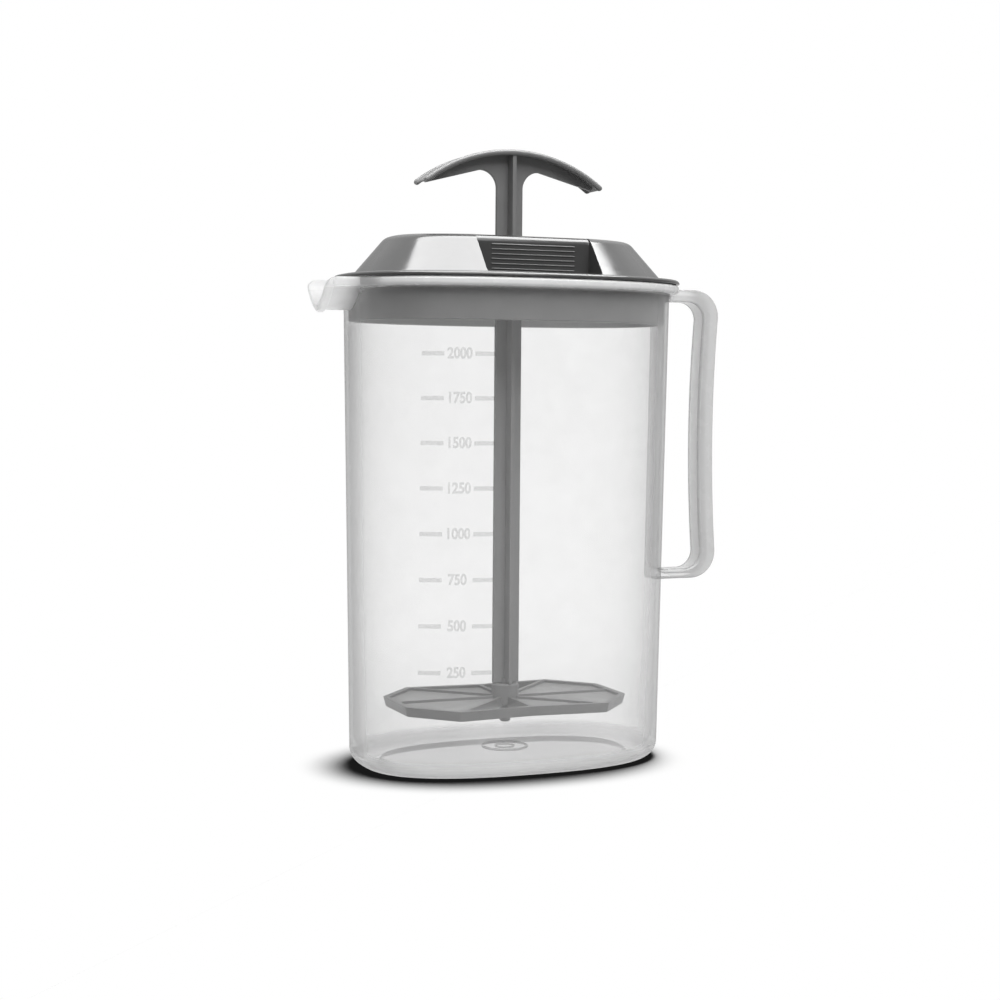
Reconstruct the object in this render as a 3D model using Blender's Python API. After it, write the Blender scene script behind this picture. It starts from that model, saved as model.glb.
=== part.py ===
"""Quick stir pitcher: an oval jug with a spout and a side handle, a domed lid, and a plunger that stirs."""
import math

import bmesh
import bpy
from mathutils import Vector

MM = 0.001

# Shared clearances and smoothness
SEAT_GAP = 0.3 * MM
CUT_OVERRUN = 4.0 * MM
OVAL_POWER = 2.5
OVAL_SIDES = 72
ARC_STEPS = 6
ROUND_SIDES = 24
SHARP_ANGLE = math.radians(35)

# Jug: an oval shell that widens slightly to the top, on a foot ring
JUG_HEIGHT = 225.6 * MM
JUG_TOP_HALF_LENGTH = 78.0 * MM
JUG_TOP_HALF_DEPTH = 49.8 * MM
JUG_BASE_HALF_LENGTH = 74.6 * MM
JUG_BASE_HALF_DEPTH = 46.0 * MM
JUG_WALL = 1.8 * MM
JUG_CORNER_RADIUS = 8.0 * MM
FOOT_WIDTH = 3.5 * MM
FOOT_RISE = 3.5 * MM
FLOOR_THICKNESS = 2.5 * MM
RIM_BAND_HEIGHT = 4.0 * MM
RIM_BAND_REACH = 4.3 * MM
RIM_BAND_ROUND = 0.9 * MM

# Spout: a rounded trough at the -X end, level with the rim
SPOUT_REACH = 15.8 * MM
SPOUT_LIP_LENGTH = 2.6 * MM
SPOUT_LIP_REACH = 1.2 * MM
SPOUT_MOUTH_HALF_WIDTH = 15.8 * MM
SPOUT_ROOT_HALF_WIDTH = 16.6 * MM
SPOUT_BAND_REACH = 2.0 * MM
SPOUT_DEPTH = 14.2 * MM
SPOUT_WALL = 1.8 * MM
SPOUT_ROOT_DEPTH_IN_WALL = 16.0 * MM
SPOUT_POWER = 1.45
SPOUT_SIDES = 22

# Side handle: a closed loop with a spine on the jug's wall and a grooved grip
HANDLE_REACH = 31.6 * MM
HANDLE_LENGTH = 141.0 * MM
HANDLE_TOP_DROP = 0.6 * MM
HANDLE_GRIP_BOW = 2.2 * MM
HANDLE_GRIP_THICKNESS = 7.8 * MM
HANDLE_WIDTH = 11.8 * MM
HANDLE_TOP_ARM = 5.8 * MM
HANDLE_BOTTOM_ARM = 4.6 * MM
HANDLE_OUTER_RADIUS = 13.0 * MM
HANDLE_INNER_RADIUS = 8.5 * MM
HANDLE_SPINE = 2.2 * MM
HANDLE_SPINE_ROUND = 1.2 * MM
HANDLE_EDGE_ROUND = 0.9 * MM
GROOVE_DEPTH = 4.6 * MM
GROOVE_FLANGE = 2.2 * MM
HANDLE_BOW_STEPS = 10

# Lid cover: flange on the rim, short step, sloped shoulder and flat top
LID_FLANGE_REACH = 0.2 * MM
LID_FLANGE_THICKNESS = 2.0 * MM
LID_FLANGE_ROUND = 0.7 * MM
LID_STEP_INSET = 8.4 * MM
LID_STEP_HEIGHT = 3.0 * MM
LID_SHOULDER = 15.0 * MM
LID_TOP_ROUND = 2.6 * MM
LID_WALL = 2.2 * MM

# Finger recesses in the front and back shoulders, ribbed for grip
RECESS_HALF_LENGTH = 27.0 * MM
RECESS_ROUND = 1.0 * MM
RECESS_FLOOR_DROP = 0.9 * MM
RECESS_BEHIND_EDGE = 1.6 * MM
GRIP_RIB_COUNT = 6
GRIP_RIB_PITCH = 2.2 * MM
GRIP_RIB_HALF_LENGTH = 20.5 * MM
GRIP_RIB_HEIGHT = 1.0 * MM
GRIP_RIB_REACH = 0.8 * MM

# Lid skirt: the plug ring clipped under the flange
SKIRT_HEIGHT = 18.8 * MM
SKIRT_WALL = 1.8 * MM
SKIRT_CLEARANCE = 0.4 * MM

# Plunger: arched handle, cross-shaped shaft, stop collar and end stud
GRIP_RISE = 41.5 * MM
GRIP_HALF_SPAN = 45.2 * MM
GRIP_DROP = 15.4 * MM
GRIP_WIDTH = 16.4 * MM
GRIP_STRAP = 2.0 * MM
GRIP_EDGE_ROUND = 0.5 * MM
GRIP_WEB_DROP = 9.4 * MM
GRIP_WEB_TAIL = 0.9 * MM
GRIP_WEB_FILLET = 8.2 * MM
GRIP_ARC_STEPS = 28
SHAFT_HALF_LENGTH = 6.6 * MM
SHAFT_HALF_DEPTH = 6.9 * MM
SHAFT_RIB = 2.0 * MM
COLLAR_HALF_LENGTH = 7.9 * MM
COLLAR_THICKNESS = 1.3 * MM
COLLAR_ROUND = 2.4 * MM
KEYHOLE_CLEARANCE = 0.4 * MM
STUD_RADIUS = 2.6 * MM
STUD_FLOOR_GAP = 12.0 * MM
STUD_CHAMFER = 0.7 * MM

# Mixing disc: an eight-cornered rim with a slight waist, spokes, thin webs and a hub
DISC_END_GAP = 18.6 * MM
DISC_SIDE_GAP = 9.0 * MM
DISC_HEIGHT = 4.6 * MM
DISC_CORNER_LENGTH = 19.0 * MM
DISC_CORNER_DEPTH = 21.0 * MM
DISC_WAIST = 3.0 * MM
DISC_FLARE = 1.2 * MM
DISC_WALL = 1.7 * MM
SPOKE_WIDTH = 1.8 * MM
WEB_THICKNESS = 1.0 * MM
WEB_SINK = 1.2 * MM
HUB_RADIUS = 6.4 * MM
HUB_HEIGHT = 9.7 * MM
HUB_STUD_REACH = 8.8 * MM
HUB_STAND = 6.0 * MM
HUB_EDGE_ROUND = 0.5 * MM

# Places that follow from the sizes above; X = 0 is the plunger's axis for every size
AXIS_NAME = "plunger_axis"
SPOUT_TIP_X = JUG_TOP_HALF_LENGTH + SPOUT_REACH
HANDLE_GRIP_X = JUG_TOP_HALF_LENGTH + HANDLE_REACH
AXIS_X = (SPOUT_TIP_X - HANDLE_GRIP_X) / 2
FLOOR_TOP_Z = FOOT_RISE + FLOOR_THICKNESS
HANDLE_TOP_Z = JUG_HEIGHT - HANDLE_TOP_DROP
HANDLE_BOTTOM_Z = HANDLE_TOP_Z - HANDLE_LENGTH
RIM_BAND_BOTTOM_Z = JUG_HEIGHT - RIM_BAND_HEIGHT
FLANGE_BOTTOM_Z = JUG_HEIGHT + SEAT_GAP
FLANGE_TOP_Z = FLANGE_BOTTOM_Z + LID_FLANGE_THICKNESS
SHOULDER_BOTTOM_Z = FLANGE_TOP_Z + LID_STEP_HEIGHT
LID_TOP_Z = SHOULDER_BOTTOM_Z + LID_SHOULDER
FLANGE_HALF_LENGTH = JUG_TOP_HALF_LENGTH + RIM_BAND_REACH + LID_FLANGE_REACH
FLANGE_HALF_DEPTH = JUG_TOP_HALF_DEPTH + RIM_BAND_REACH + LID_FLANGE_REACH
SHOULDER_HALF_LENGTH = FLANGE_HALF_LENGTH - LID_STEP_INSET
SHOULDER_HALF_DEPTH = FLANGE_HALF_DEPTH - LID_STEP_INSET
TOP_HALF_DEPTH = SHOULDER_HALF_DEPTH - LID_SHOULDER
GRIP_WALL_Y = TOP_HALF_DEPTH - RECESS_BEHIND_EDGE
RECESS_FLOOR_Z = SHOULDER_BOTTOM_Z - RECESS_FLOOR_DROP
COLLAR_BOTTOM_Z = LID_TOP_Z + SEAT_GAP
GRIP_CROWN_Z = LID_TOP_Z + GRIP_RISE
GRIP_RADIUS = (GRIP_HALF_SPAN ** 2 + GRIP_DROP ** 2) / (2 * GRIP_DROP)
GRIP_CENTRE_Z = GRIP_CROWN_Z - GRIP_RADIUS
STUD_BOTTOM_Z = FLOOR_TOP_Z + STUD_FLOOR_GAP
HUB_BOTTOM_Z = STUD_BOTTOM_Z + HUB_STUD_REACH
HUB_TOP_Z = HUB_BOTTOM_Z + HUB_HEIGHT
SHAFT_BOTTOM_Z = HUB_TOP_Z + SEAT_GAP
DISC_HALF_LENGTH = JUG_BASE_HALF_LENGTH - DISC_END_GAP
DISC_HALF_DEPTH = JUG_BASE_HALF_DEPTH - DISC_SIDE_GAP
DISC_CORNER_X = DISC_HALF_LENGTH - DISC_CORNER_LENGTH
DISC_END_HALF_WIDTH = DISC_HALF_DEPTH - DISC_CORNER_DEPTH
DISC_TOP_Z = HUB_TOP_Z - HUB_STAND
WEB_TOP_Z = DISC_TOP_Z - WEB_SINK
WEB_BOTTOM_Z = WEB_TOP_Z - WEB_THICKNESS
DISC_BOTTOM_Z = DISC_TOP_Z - DISC_HEIGHT


def clear_scene():
    for thing in list(bpy.data.objects):
        bpy.data.objects.remove(thing, do_unlink=True)


def add_axis():
    """The upright axis that every piece hangs from, placed so that the origin is mid-way from spout to handle."""
    axis = bpy.data.objects.new(AXIS_NAME, None)
    bpy.context.scene.collection.objects.link(axis)
    axis.location = (AXIS_X, 0.0, 0.0)


def plastic(name, colour, roughness, transmission=0.0):
    """A plastic in linear colour values."""
    material = bpy.data.materials.new(name)
    material.use_nodes = True
    shader = material.node_tree.nodes["Principled BSDF"]
    shader.inputs["Base Color"].default_value = (*colour, 1.0)
    shader.inputs["Roughness"].default_value = roughness
    shader.inputs["Metallic"].default_value = 0.0
    shader.inputs["Transmission Weight"].default_value = transmission
    return material


def add_object(name, mesh, material=None, parent=None):
    thing = bpy.data.objects.new(name, mesh)
    bpy.context.scene.collection.objects.link(thing)
    if material:
        mesh.materials.append(material)
        mesh.shade_smooth()
        mesh.set_sharp_from_angle(angle=SHARP_ANGLE)
    else:
        thing.hide_render = True
        thing.display_type = "WIRE"
    thing.parent = parent or bpy.data.objects[AXIS_NAME]
    return thing


def mesh_from_rings(name, rings, closed=False):
    """Bridges rings of equal length; the first and last are capped, or joined to each other when closed."""
    bm = bmesh.new()
    loops = [[bm.verts.new(point) for point in ring] for ring in rings]
    pairs = list(zip(loops, loops[1:]))
    if closed:
        pairs.append((loops[-1], loops[0]))
    for lower, upper in pairs:
        for here in range(len(lower)):
            after = (here + 1) % len(lower)
            bm.faces.new((lower[here], lower[after], upper[after], upper[here]))
    if not closed:
        bm.faces.new(loops[0])
        bm.faces.new(loops[-1])
    bmesh.ops.recalc_face_normals(bm, faces=bm.faces)
    mesh = bpy.data.meshes.new(name)
    bm.to_mesh(mesh)
    bm.free()
    return mesh


def add_prisms(name, outlines, axis, start, end, material=None, parent=None):
    """One object of separate prisms: each outline holds pairs of coordinates square to the axis, X, Y or Z."""
    bm = bmesh.new()
    for outline in outlines:
        sides = []
        for place in (start, end):
            points = {
                "X": [(place, first, second) for first, second in outline],
                "Y": [(first, place, second) for first, second in outline],
                "Z": [(first, second, place) for first, second in outline],
            }[axis]
            sides.append([bm.verts.new(point) for point in points])
        for here in range(len(outline)):
            after = (here + 1) % len(outline)
            bm.faces.new((sides[0][here], sides[0][after], sides[1][after], sides[1][here]))
        bm.faces.new(sides[0])
        bm.faces.new(sides[1])
    bmesh.ops.recalc_face_normals(bm, faces=bm.faces)
    mesh = bpy.data.meshes.new(name)
    bm.to_mesh(mesh)
    bm.free()
    return add_object(name, mesh, material, parent)


def boolean(target, tool, operation):
    change = target.modifiers.new(f"{operation} {tool.name}", "BOOLEAN")
    change.operation = operation
    change.solver = "EXACT"
    change.object = tool


def bevel(target, width, segments=2):
    change = target.modifiers.new("rounded edges", "BEVEL")
    change.width = width
    change.segments = segments
    change.limit_method = "ANGLE"
    change.angle_limit = SHARP_ANGLE


def oval(half_length, half_depth, z):
    """The jug's oval at one height: a superellipse, fuller than an ellipse."""
    ring = []
    for step in range(OVAL_SIDES):
        angle = 2 * math.pi * step / OVAL_SIDES
        across, along = math.cos(angle), math.sin(angle)
        x = half_length * math.copysign(abs(across) ** (2 / OVAL_POWER), across)
        y = half_depth * math.copysign(abs(along) ** (2 / OVAL_POWER), along)
        ring.append((x, y, z))
    return ring


def jug_halves(z):
    """The half length and half depth of the jug's outer wall at a height."""
    rise = z / JUG_HEIGHT
    half_length = JUG_BASE_HALF_LENGTH + (JUG_TOP_HALF_LENGTH - JUG_BASE_HALF_LENGTH) * rise
    half_depth = JUG_BASE_HALF_DEPTH + (JUG_TOP_HALF_DEPTH - JUG_BASE_HALF_DEPTH) * rise
    return half_length, half_depth


def jug_oval(inset, z):
    """The oval that lies an inset within the jug's outer wall at a height."""
    half_length, half_depth = jug_halves(z)
    return oval(half_length - inset, half_depth - inset, z)


def quarter(radius, steps=ARC_STEPS):
    """Pairs of inset and height round a corner, from the flat to the upright."""
    turns = [math.pi / 2 * step / steps for step in range(steps + 1)]
    return [(radius * (1 - math.sin(turn)), radius * (1 - math.cos(turn))) for turn in turns]


def rounded_outline(corners, radii, steps=ARC_STEPS):
    """A closed outline with an arc at each corner."""
    points = []
    for here, corner in enumerate(corners):
        corner = Vector(corner)
        back = (Vector(corners[here - 1]) - corner).normalized()
        ahead = (Vector(corners[(here + 1) % len(corners)]) - corner).normalized()
        half = back.angle(ahead) / 2
        radius = radii[here]
        centre = corner + (back + ahead).normalized() * radius / math.sin(half)
        start = corner + back * radius / math.tan(half) - centre
        end = corner + ahead * radius / math.tan(half) - centre
        for step in range(steps + 1):
            points.append(tuple(centre + start.slerp(end, step / steps) * radius))
    return points


def spout_section(x, half_width, depth, top_z):
    """A trough section between a V and a U, open side up and closed by a level line."""
    ring = []
    for step in range(SPOUT_SIDES + 1):
        turn = math.pi * step / SPOUT_SIDES
        y = half_width * math.copysign(abs(math.cos(turn)) ** (2 / SPOUT_POWER), math.cos(turn))
        ring.append((x, y, top_z - depth * abs(math.sin(turn)) ** (2 / SPOUT_POWER)))
    return ring


def make_jug(material):
    foot = JUG_CORNER_RADIUS + FOOT_WIDTH
    outer = [jug_oval(foot + FOOT_RISE, FOOT_RISE), jug_oval(foot, 0.0)]
    outer += [jug_oval(inset, z) for inset, z in quarter(JUG_CORNER_RADIUS)]
    band = -RIM_BAND_REACH
    outer += [jug_oval(0.0, RIM_BAND_BOTTOM_Z - RIM_BAND_ROUND)]
    outer += [jug_oval(band + RIM_BAND_ROUND, RIM_BAND_BOTTOM_Z)]
    outer += [jug_oval(band, RIM_BAND_BOTTOM_Z + RIM_BAND_ROUND)]
    outer += [jug_oval(band, JUG_HEIGHT - RIM_BAND_ROUND)]
    outer += [jug_oval(band + RIM_BAND_ROUND, JUG_HEIGHT)]
    jug = add_object("pitcher_body", mesh_from_rings("pitcher_body", outer), material)

    mouth_x = SPOUT_TIP_X - SPOUT_LIP_LENGTH
    root_x = JUG_TOP_HALF_LENGTH - SPOUT_ROOT_DEPTH_IN_WALL
    lip_half_width = SPOUT_MOUTH_HALF_WIDTH + SPOUT_LIP_REACH
    lip_depth = SPOUT_DEPTH + SPOUT_LIP_REACH
    stations = [
        (root_x, SPOUT_ROOT_HALF_WIDTH, SPOUT_DEPTH),
        (JUG_TOP_HALF_LENGTH, SPOUT_ROOT_HALF_WIDTH, SPOUT_DEPTH),
        (mouth_x, SPOUT_MOUTH_HALF_WIDTH, SPOUT_DEPTH),
        (mouth_x + SPOUT_LIP_REACH, lip_half_width, lip_depth),
        (SPOUT_TIP_X, lip_half_width, lip_depth),
    ]
    trough = [spout_section(-x, width, depth, JUG_HEIGHT) for x, width, depth in stations]
    spout = add_object("spout_outside", mesh_from_rings("spout_outside", trough))
    boolean(jug, spout, "UNION")
    root = SPOUT_ROOT_HALF_WIDTH + SPOUT_BAND_REACH
    mouth = SPOUT_MOUTH_HALF_WIDTH + SPOUT_BAND_REACH
    band_outline = [(-root_x, -root), (-root_x, root), (-mouth_x, mouth), (-mouth_x, -mouth)]
    spout_band = add_prisms("spout_band", [band_outline], "Z", RIM_BAND_BOTTOM_Z, JUG_HEIGHT)
    bevel(spout_band, RIM_BAND_ROUND)
    boolean(jug, spout_band, "UNION")

    inside = [jug_oval(JUG_WALL + inset, FLOOR_TOP_Z + z) for inset, z in quarter(JUG_CORNER_RADIUS)]
    inside += [jug_oval(JUG_WALL, JUG_HEIGHT + CUT_OVERRUN)]
    cavity = add_object("jug_inside", mesh_from_rings("jug_inside", inside))
    boolean(jug, cavity, "DIFFERENCE")

    cuts = [
        (root_x, SPOUT_ROOT_HALF_WIDTH),
        (JUG_TOP_HALF_LENGTH, SPOUT_ROOT_HALF_WIDTH),
        (mouth_x, SPOUT_MOUTH_HALF_WIDTH),
        (SPOUT_TIP_X + CUT_OVERRUN, SPOUT_MOUTH_HALF_WIDTH),
    ]
    channel = []
    for x, width in cuts:
        ring = spout_section(-x, width - SPOUT_WALL, SPOUT_DEPTH - SPOUT_WALL, JUG_HEIGHT)
        ends = [(-x, side * (width - SPOUT_WALL), JUG_HEIGHT + CUT_OVERRUN) for side in (-1, 1)]
        channel.append(ring + ends)
    trough_cut = add_object("spout_channel", mesh_from_rings("spout_channel", channel))
    boolean(jug, trough_cut, "DIFFERENCE")
    return jug


def bowed(points, low_z, high_z, bow):
    """Bends the upright stretch between two heights inward by a bow at its middle."""
    bent = []
    for x, z in points:
        share = min(max((z - low_z) / (high_z - low_z), 0.0), 1.0)
        bent.append((x - bow * (1 - (2 * share - 1) ** 2), z))
    return bent


def handle_loop(grip_x, top_z, bottom_z, radius, spine_inset, spine_round, top_spine_z):
    """One loop of the handle in the XZ plane: grip side with rounded corners, spine side along the wall."""
    corners = [
        (jug_halves(bottom_z)[0] + spine_inset, bottom_z),
        (grip_x, bottom_z),
        (grip_x, top_z),
        (jug_halves(top_spine_z)[0] + spine_inset, top_z),
    ]
    outline = rounded_outline(corners, [spine_round, radius, radius, spine_round])
    side = len(outline) // 4
    lower, upper = outline[2 * side - 1], outline[2 * side]
    grip = []
    for step in range(1, HANDLE_BOW_STEPS):
        share = step / HANDLE_BOW_STEPS
        grip.append((lower[0] + (upper[0] - lower[0]) * share, lower[1] + (upper[1] - lower[1]) * share))
    low_z, high_z = lower[1], upper[1]
    start, end = outline[side:2 * side], outline[2 * side:3 * side]
    return outline[:side] + start + bowed(grip, low_z, high_z, HANDLE_GRIP_BOW) + end + outline[3 * side:]


def make_handle(material):
    half = HANDLE_WIDTH / 2
    spine_top_z = RIM_BAND_BOTTOM_Z - RIM_BAND_ROUND - SEAT_GAP
    outer = handle_loop(HANDLE_GRIP_X, HANDLE_TOP_Z, HANDLE_BOTTOM_Z, HANDLE_OUTER_RADIUS, SEAT_GAP,
                        HANDLE_SPINE_ROUND, spine_top_z)
    inner = handle_loop(HANDLE_GRIP_X - HANDLE_GRIP_THICKNESS, HANDLE_TOP_Z - HANDLE_TOP_ARM,
                        HANDLE_BOTTOM_Z + HANDLE_BOTTOM_ARM, HANDLE_INNER_RADIUS, SEAT_GAP + HANDLE_SPINE,
                        HANDLE_SPINE_ROUND, spine_top_z)
    rings = []
    for place, outline in ((-half, outer), (half, outer), (half, inner), (-half, inner)):
        rings.append([(x, place, z) for x, z in outline])
    handle = add_object("side_handle", mesh_from_rings("side_handle", rings, closed=True), material)
    bevel(handle, HANDLE_EDGE_ROUND)

    notch = [
        (0.0, spine_top_z),
        (FLANGE_HALF_LENGTH + SEAT_GAP, spine_top_z),
        (FLANGE_HALF_LENGTH + SEAT_GAP, HANDLE_TOP_Z + CUT_OVERRUN),
        (0.0, HANDLE_TOP_Z + CUT_OVERRUN),
    ]
    rim_notch = add_prisms("handle_rim_notch", [notch], "Y", -half - CUT_OVERRUN, half + CUT_OVERRUN)
    boolean(handle, rim_notch, "DIFFERENCE")

    groove_x = HANDLE_GRIP_X - HANDLE_GRIP_THICKNESS + GROOVE_DEPTH
    groove_top_z = HANDLE_TOP_Z - HANDLE_TOP_ARM + HANDLE_TOP_ARM / 2
    groove_bottom_z = HANDLE_BOTTOM_Z + HANDLE_BOTTOM_ARM / 2
    run = handle_loop(groove_x, groove_top_z, groove_bottom_z, HANDLE_INNER_RADIUS + HANDLE_EDGE_ROUND,
                      RIM_BAND_REACH + HANDLE_SPINE, HANDLE_SPINE_ROUND, spine_top_z)
    groove_half = half - GROOVE_FLANGE
    groove = add_prisms("handle_groove", [run], "Y", -groove_half, groove_half)
    boolean(handle, groove, "DIFFERENCE")
    return handle


def lid_rings(wall):
    """Rings of the cover's outside, or of a hollow one wall inside it."""
    bottom_z = FLANGE_BOTTOM_Z
    if wall:
        return [
            oval(SHOULDER_HALF_LENGTH - wall, SHOULDER_HALF_DEPTH - wall, bottom_z - CUT_OVERRUN),
            oval(SHOULDER_HALF_LENGTH - wall, SHOULDER_HALF_DEPTH - wall, SHOULDER_BOTTOM_Z - wall / 2),
            oval(SHOULDER_HALF_LENGTH - LID_SHOULDER - wall / 2, TOP_HALF_DEPTH - wall / 2, LID_TOP_Z - wall),
        ]
    reach = FLANGE_HALF_LENGTH
    depth = FLANGE_HALF_DEPTH
    rings = [oval(reach - LID_FLANGE_ROUND, depth - LID_FLANGE_ROUND, bottom_z)]
    rings += [oval(reach, depth, bottom_z + LID_FLANGE_ROUND)]
    rings += [oval(reach, depth, FLANGE_TOP_Z - LID_FLANGE_ROUND)]
    rings += [oval(reach - LID_FLANGE_ROUND, depth - LID_FLANGE_ROUND, FLANGE_TOP_Z)]
    rings += [oval(SHOULDER_HALF_LENGTH, SHOULDER_HALF_DEPTH, FLANGE_TOP_Z)]
    rings += [oval(SHOULDER_HALF_LENGTH, SHOULDER_HALF_DEPTH, SHOULDER_BOTTOM_Z)]
    slope = math.pi / 4
    tangent = LID_TOP_ROUND * math.tan(slope / 2)
    for step in range(ARC_STEPS + 1):
        turn = slope * (1 - step / ARC_STEPS)
        inset = LID_SHOULDER + tangent - LID_TOP_ROUND * math.sin(turn)
        drop = LID_TOP_ROUND * (1 - math.cos(turn))
        rings.append(oval(SHOULDER_HALF_LENGTH - inset, SHOULDER_HALF_DEPTH - inset, LID_TOP_Z - drop))
    return rings


def recess_box(name, side, grow):
    """A finger recess in one shoulder, grown on each face for the hollow that clears it."""
    half = RECESS_HALF_LENGTH + grow
    inner, outer = GRIP_WALL_Y - grow, SHOULDER_HALF_DEPTH + CUT_OVERRUN
    floor = RECESS_FLOOR_Z - grow
    outline = [(-half, side * inner), (half, side * inner), (half, side * outer), (-half, side * outer)]
    box = add_prisms(name, [outline], "Z", floor, LID_TOP_Z + CUT_OVERRUN)
    if not grow:
        bevel(box, RECESS_ROUND, segments=3)
    return box


def make_lid(material):
    lid = add_object("lid_cover", mesh_from_rings("lid_cover", lid_rings(0.0)), material)
    hollow = add_object("lid_hollow", mesh_from_rings("lid_hollow", lid_rings(LID_WALL)))
    for label, side in (("front", -1), ("back", 1)):
        boolean(lid, recess_box(f"recess_{label}", side, 0.0), "DIFFERENCE")
        boolean(hollow, recess_box(f"recess_{label}_shell", side, LID_WALL), "DIFFERENCE")
        ribs = []
        for count in range(GRIP_RIB_COUNT):
            z = RECESS_FLOOR_Z + GRIP_RIB_PITCH * (count + 1 / 2)
            buried, crest = side * (GRIP_WALL_Y - LID_WALL / 2), side * (GRIP_WALL_Y + GRIP_RIB_REACH)
            ribs.append([(buried, z - GRIP_RIB_HEIGHT / 2), (crest, z - GRIP_RIB_HEIGHT / 4),
                         (crest, z + GRIP_RIB_HEIGHT / 4), (buried, z + GRIP_RIB_HEIGHT / 2)])
        rib_set = add_prisms(f"grip_ribs_{label}", ribs, "X", -GRIP_RIB_HALF_LENGTH, GRIP_RIB_HALF_LENGTH)
        boolean(lid, rib_set, "UNION")
    boolean(lid, hollow, "DIFFERENCE")

    length = SHAFT_HALF_LENGTH + KEYHOLE_CLEARANCE
    depth = SHAFT_HALF_DEPTH + KEYHOLE_CLEARANCE
    rib = SHAFT_RIB / 2 + KEYHOLE_CLEARANCE
    cross = [
        (length, -rib), (length, rib), (rib, rib), (rib, depth), (-rib, depth), (-rib, rib),
        (-length, rib), (-length, -rib), (-rib, -rib), (-rib, -depth), (rib, -depth), (rib, -rib),
    ]
    keyhole = add_prisms("keyhole", [cross], "Z", LID_TOP_Z - LID_WALL - CUT_OVERRUN, LID_TOP_Z + CUT_OVERRUN)
    boolean(lid, keyhole, "DIFFERENCE")
    return lid


def make_skirt(material, lid):
    """A ring with upright walls that clears the jug's wall where that is narrowest."""
    top_z = FLANGE_BOTTOM_Z - SEAT_GAP
    bottom_z = top_z - SKIRT_HEIGHT
    outside = JUG_WALL + SKIRT_CLEARANCE
    inside = outside + SKIRT_WALL
    length, depth = (min(pair) for pair in zip(jug_halves(bottom_z), jug_halves(top_z)))
    rings = []
    for inset, z in ((outside, bottom_z), (outside, top_z), (inside, top_z), (inside, bottom_z)):
        rings.append(oval(length - inset, depth - inset, z))
    return add_object("lid_skirt", mesh_from_rings("lid_skirt", rings, closed=True), material, lid)


def grip_arc(radius, half_angle):
    """Points along the handle's arch, from its -X tip to its +X tip."""
    points = []
    for step in range(GRIP_ARC_STEPS + 1):
        turn = half_angle * (2 * step / GRIP_ARC_STEPS - 1)
        points.append((radius * math.sin(turn), GRIP_CENTRE_Z + radius * math.cos(turn)))
    return points


def make_plunger(material, lid):
    half_angle = math.asin(GRIP_HALF_SPAN / GRIP_RADIUS)
    strap = grip_arc(GRIP_RADIUS, half_angle) + grip_arc(GRIP_RADIUS - GRIP_STRAP, half_angle)[::-1]
    plunger = add_prisms("plunger", [strap], "Y", -GRIP_WIDTH / 2, GRIP_WIDTH / 2, material, lid)
    bevel(plunger, GRIP_EDGE_ROUND)

    low_z = GRIP_CROWN_Z - GRIP_WEB_DROP
    stem = SHAFT_HALF_LENGTH
    tail_angle = half_angle - GRIP_STRAP / GRIP_RADIUS
    tail_radius = GRIP_RADIUS - GRIP_STRAP - GRIP_WEB_TAIL
    tail_x, tail_z = tail_radius * math.sin(tail_angle), GRIP_CENTRE_Z + tail_radius * math.cos(tail_angle)
    web_arc = [(-tail_x, tail_z)] + grip_arc(GRIP_RADIUS - GRIP_STRAP / 2, tail_angle) + [(tail_x, tail_z)]
    fillet = []
    for step in range(ARC_STEPS + 1):
        turn = math.pi / 2 * step / ARC_STEPS
        fillet.append((stem + GRIP_WEB_FILLET * (1 - math.sin(turn)), low_z - GRIP_WEB_FILLET * (1 - math.cos(turn))))
    foot_z = low_z - 2 * GRIP_WEB_FILLET
    right_side = fillet + [(stem, foot_z)]
    left_side = [(-x, z) for x, z in reversed(right_side)]
    web = add_prisms("grip_web", [web_arc + right_side + left_side], "Y", -SHAFT_RIB / 2, SHAFT_RIB / 2)
    boolean(plunger, web, "UNION")

    overlap_z = low_z - GRIP_WEB_FILLET - SHAFT_RIB
    crown_z = GRIP_CROWN_Z - GRIP_STRAP / 2
    for label, length, depth, top_z in (
        ("shaft_rib_length", SHAFT_HALF_LENGTH, SHAFT_RIB / 2, overlap_z),
        ("shaft_rib_depth", SHAFT_RIB / 2, SHAFT_HALF_DEPTH, crown_z),
    ):
        outline = [(-length, -depth), (length, -depth), (length, depth), (-length, depth)]
        boolean(plunger, add_prisms(label, [outline], "Z", SHAFT_BOTTOM_Z, top_z), "UNION")

    half = COLLAR_HALF_LENGTH
    corners = [(-half, -half), (half, -half), (half, half), (-half, half)]
    plate = rounded_outline(corners, [COLLAR_ROUND] * 4)
    collar = add_prisms("stop_collar", [plate], "Z", COLLAR_BOTTOM_Z, COLLAR_BOTTOM_Z + COLLAR_THICKNESS)
    boolean(plunger, collar, "UNION")

    stud = []
    for radius, z in (
        (STUD_RADIUS - STUD_CHAMFER, STUD_BOTTOM_Z),
        (STUD_RADIUS, STUD_BOTTOM_Z + STUD_CHAMFER),
        (STUD_RADIUS, SHAFT_BOTTOM_Z + SHAFT_RIB),
    ):
        stud.append(circle(radius, z))
    boolean(plunger, add_object("shaft_stud", mesh_from_rings("shaft_stud", stud)), "UNION")
    return plunger


def circle(radius, z):
    turns = [2 * math.pi * step / ROUND_SIDES for step in range(ROUND_SIDES)]
    return [(radius * math.cos(turn), radius * math.sin(turn), z) for turn in turns]


def inset_outline(points, insets):
    """Moves each side of an anticlockwise outline inward by its own inset."""
    lines = []
    for here, inset in enumerate(insets):
        start, end = Vector(points[here]), Vector(points[(here + 1) % len(points)])
        along = (end - start).normalized()
        inward = Vector((-along.y, along.x))
        lines.append((start + inward * inset, along))
    moved = []
    for here, (start, along) in enumerate(lines):
        before, before_along = lines[here - 1]
        gap = start - before
        reach = (gap.x * along.y - gap.y * along.x) / (before_along.x * along.y - before_along.y * along.x)
        moved.append(tuple(before + before_along * reach))
    return moved


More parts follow.
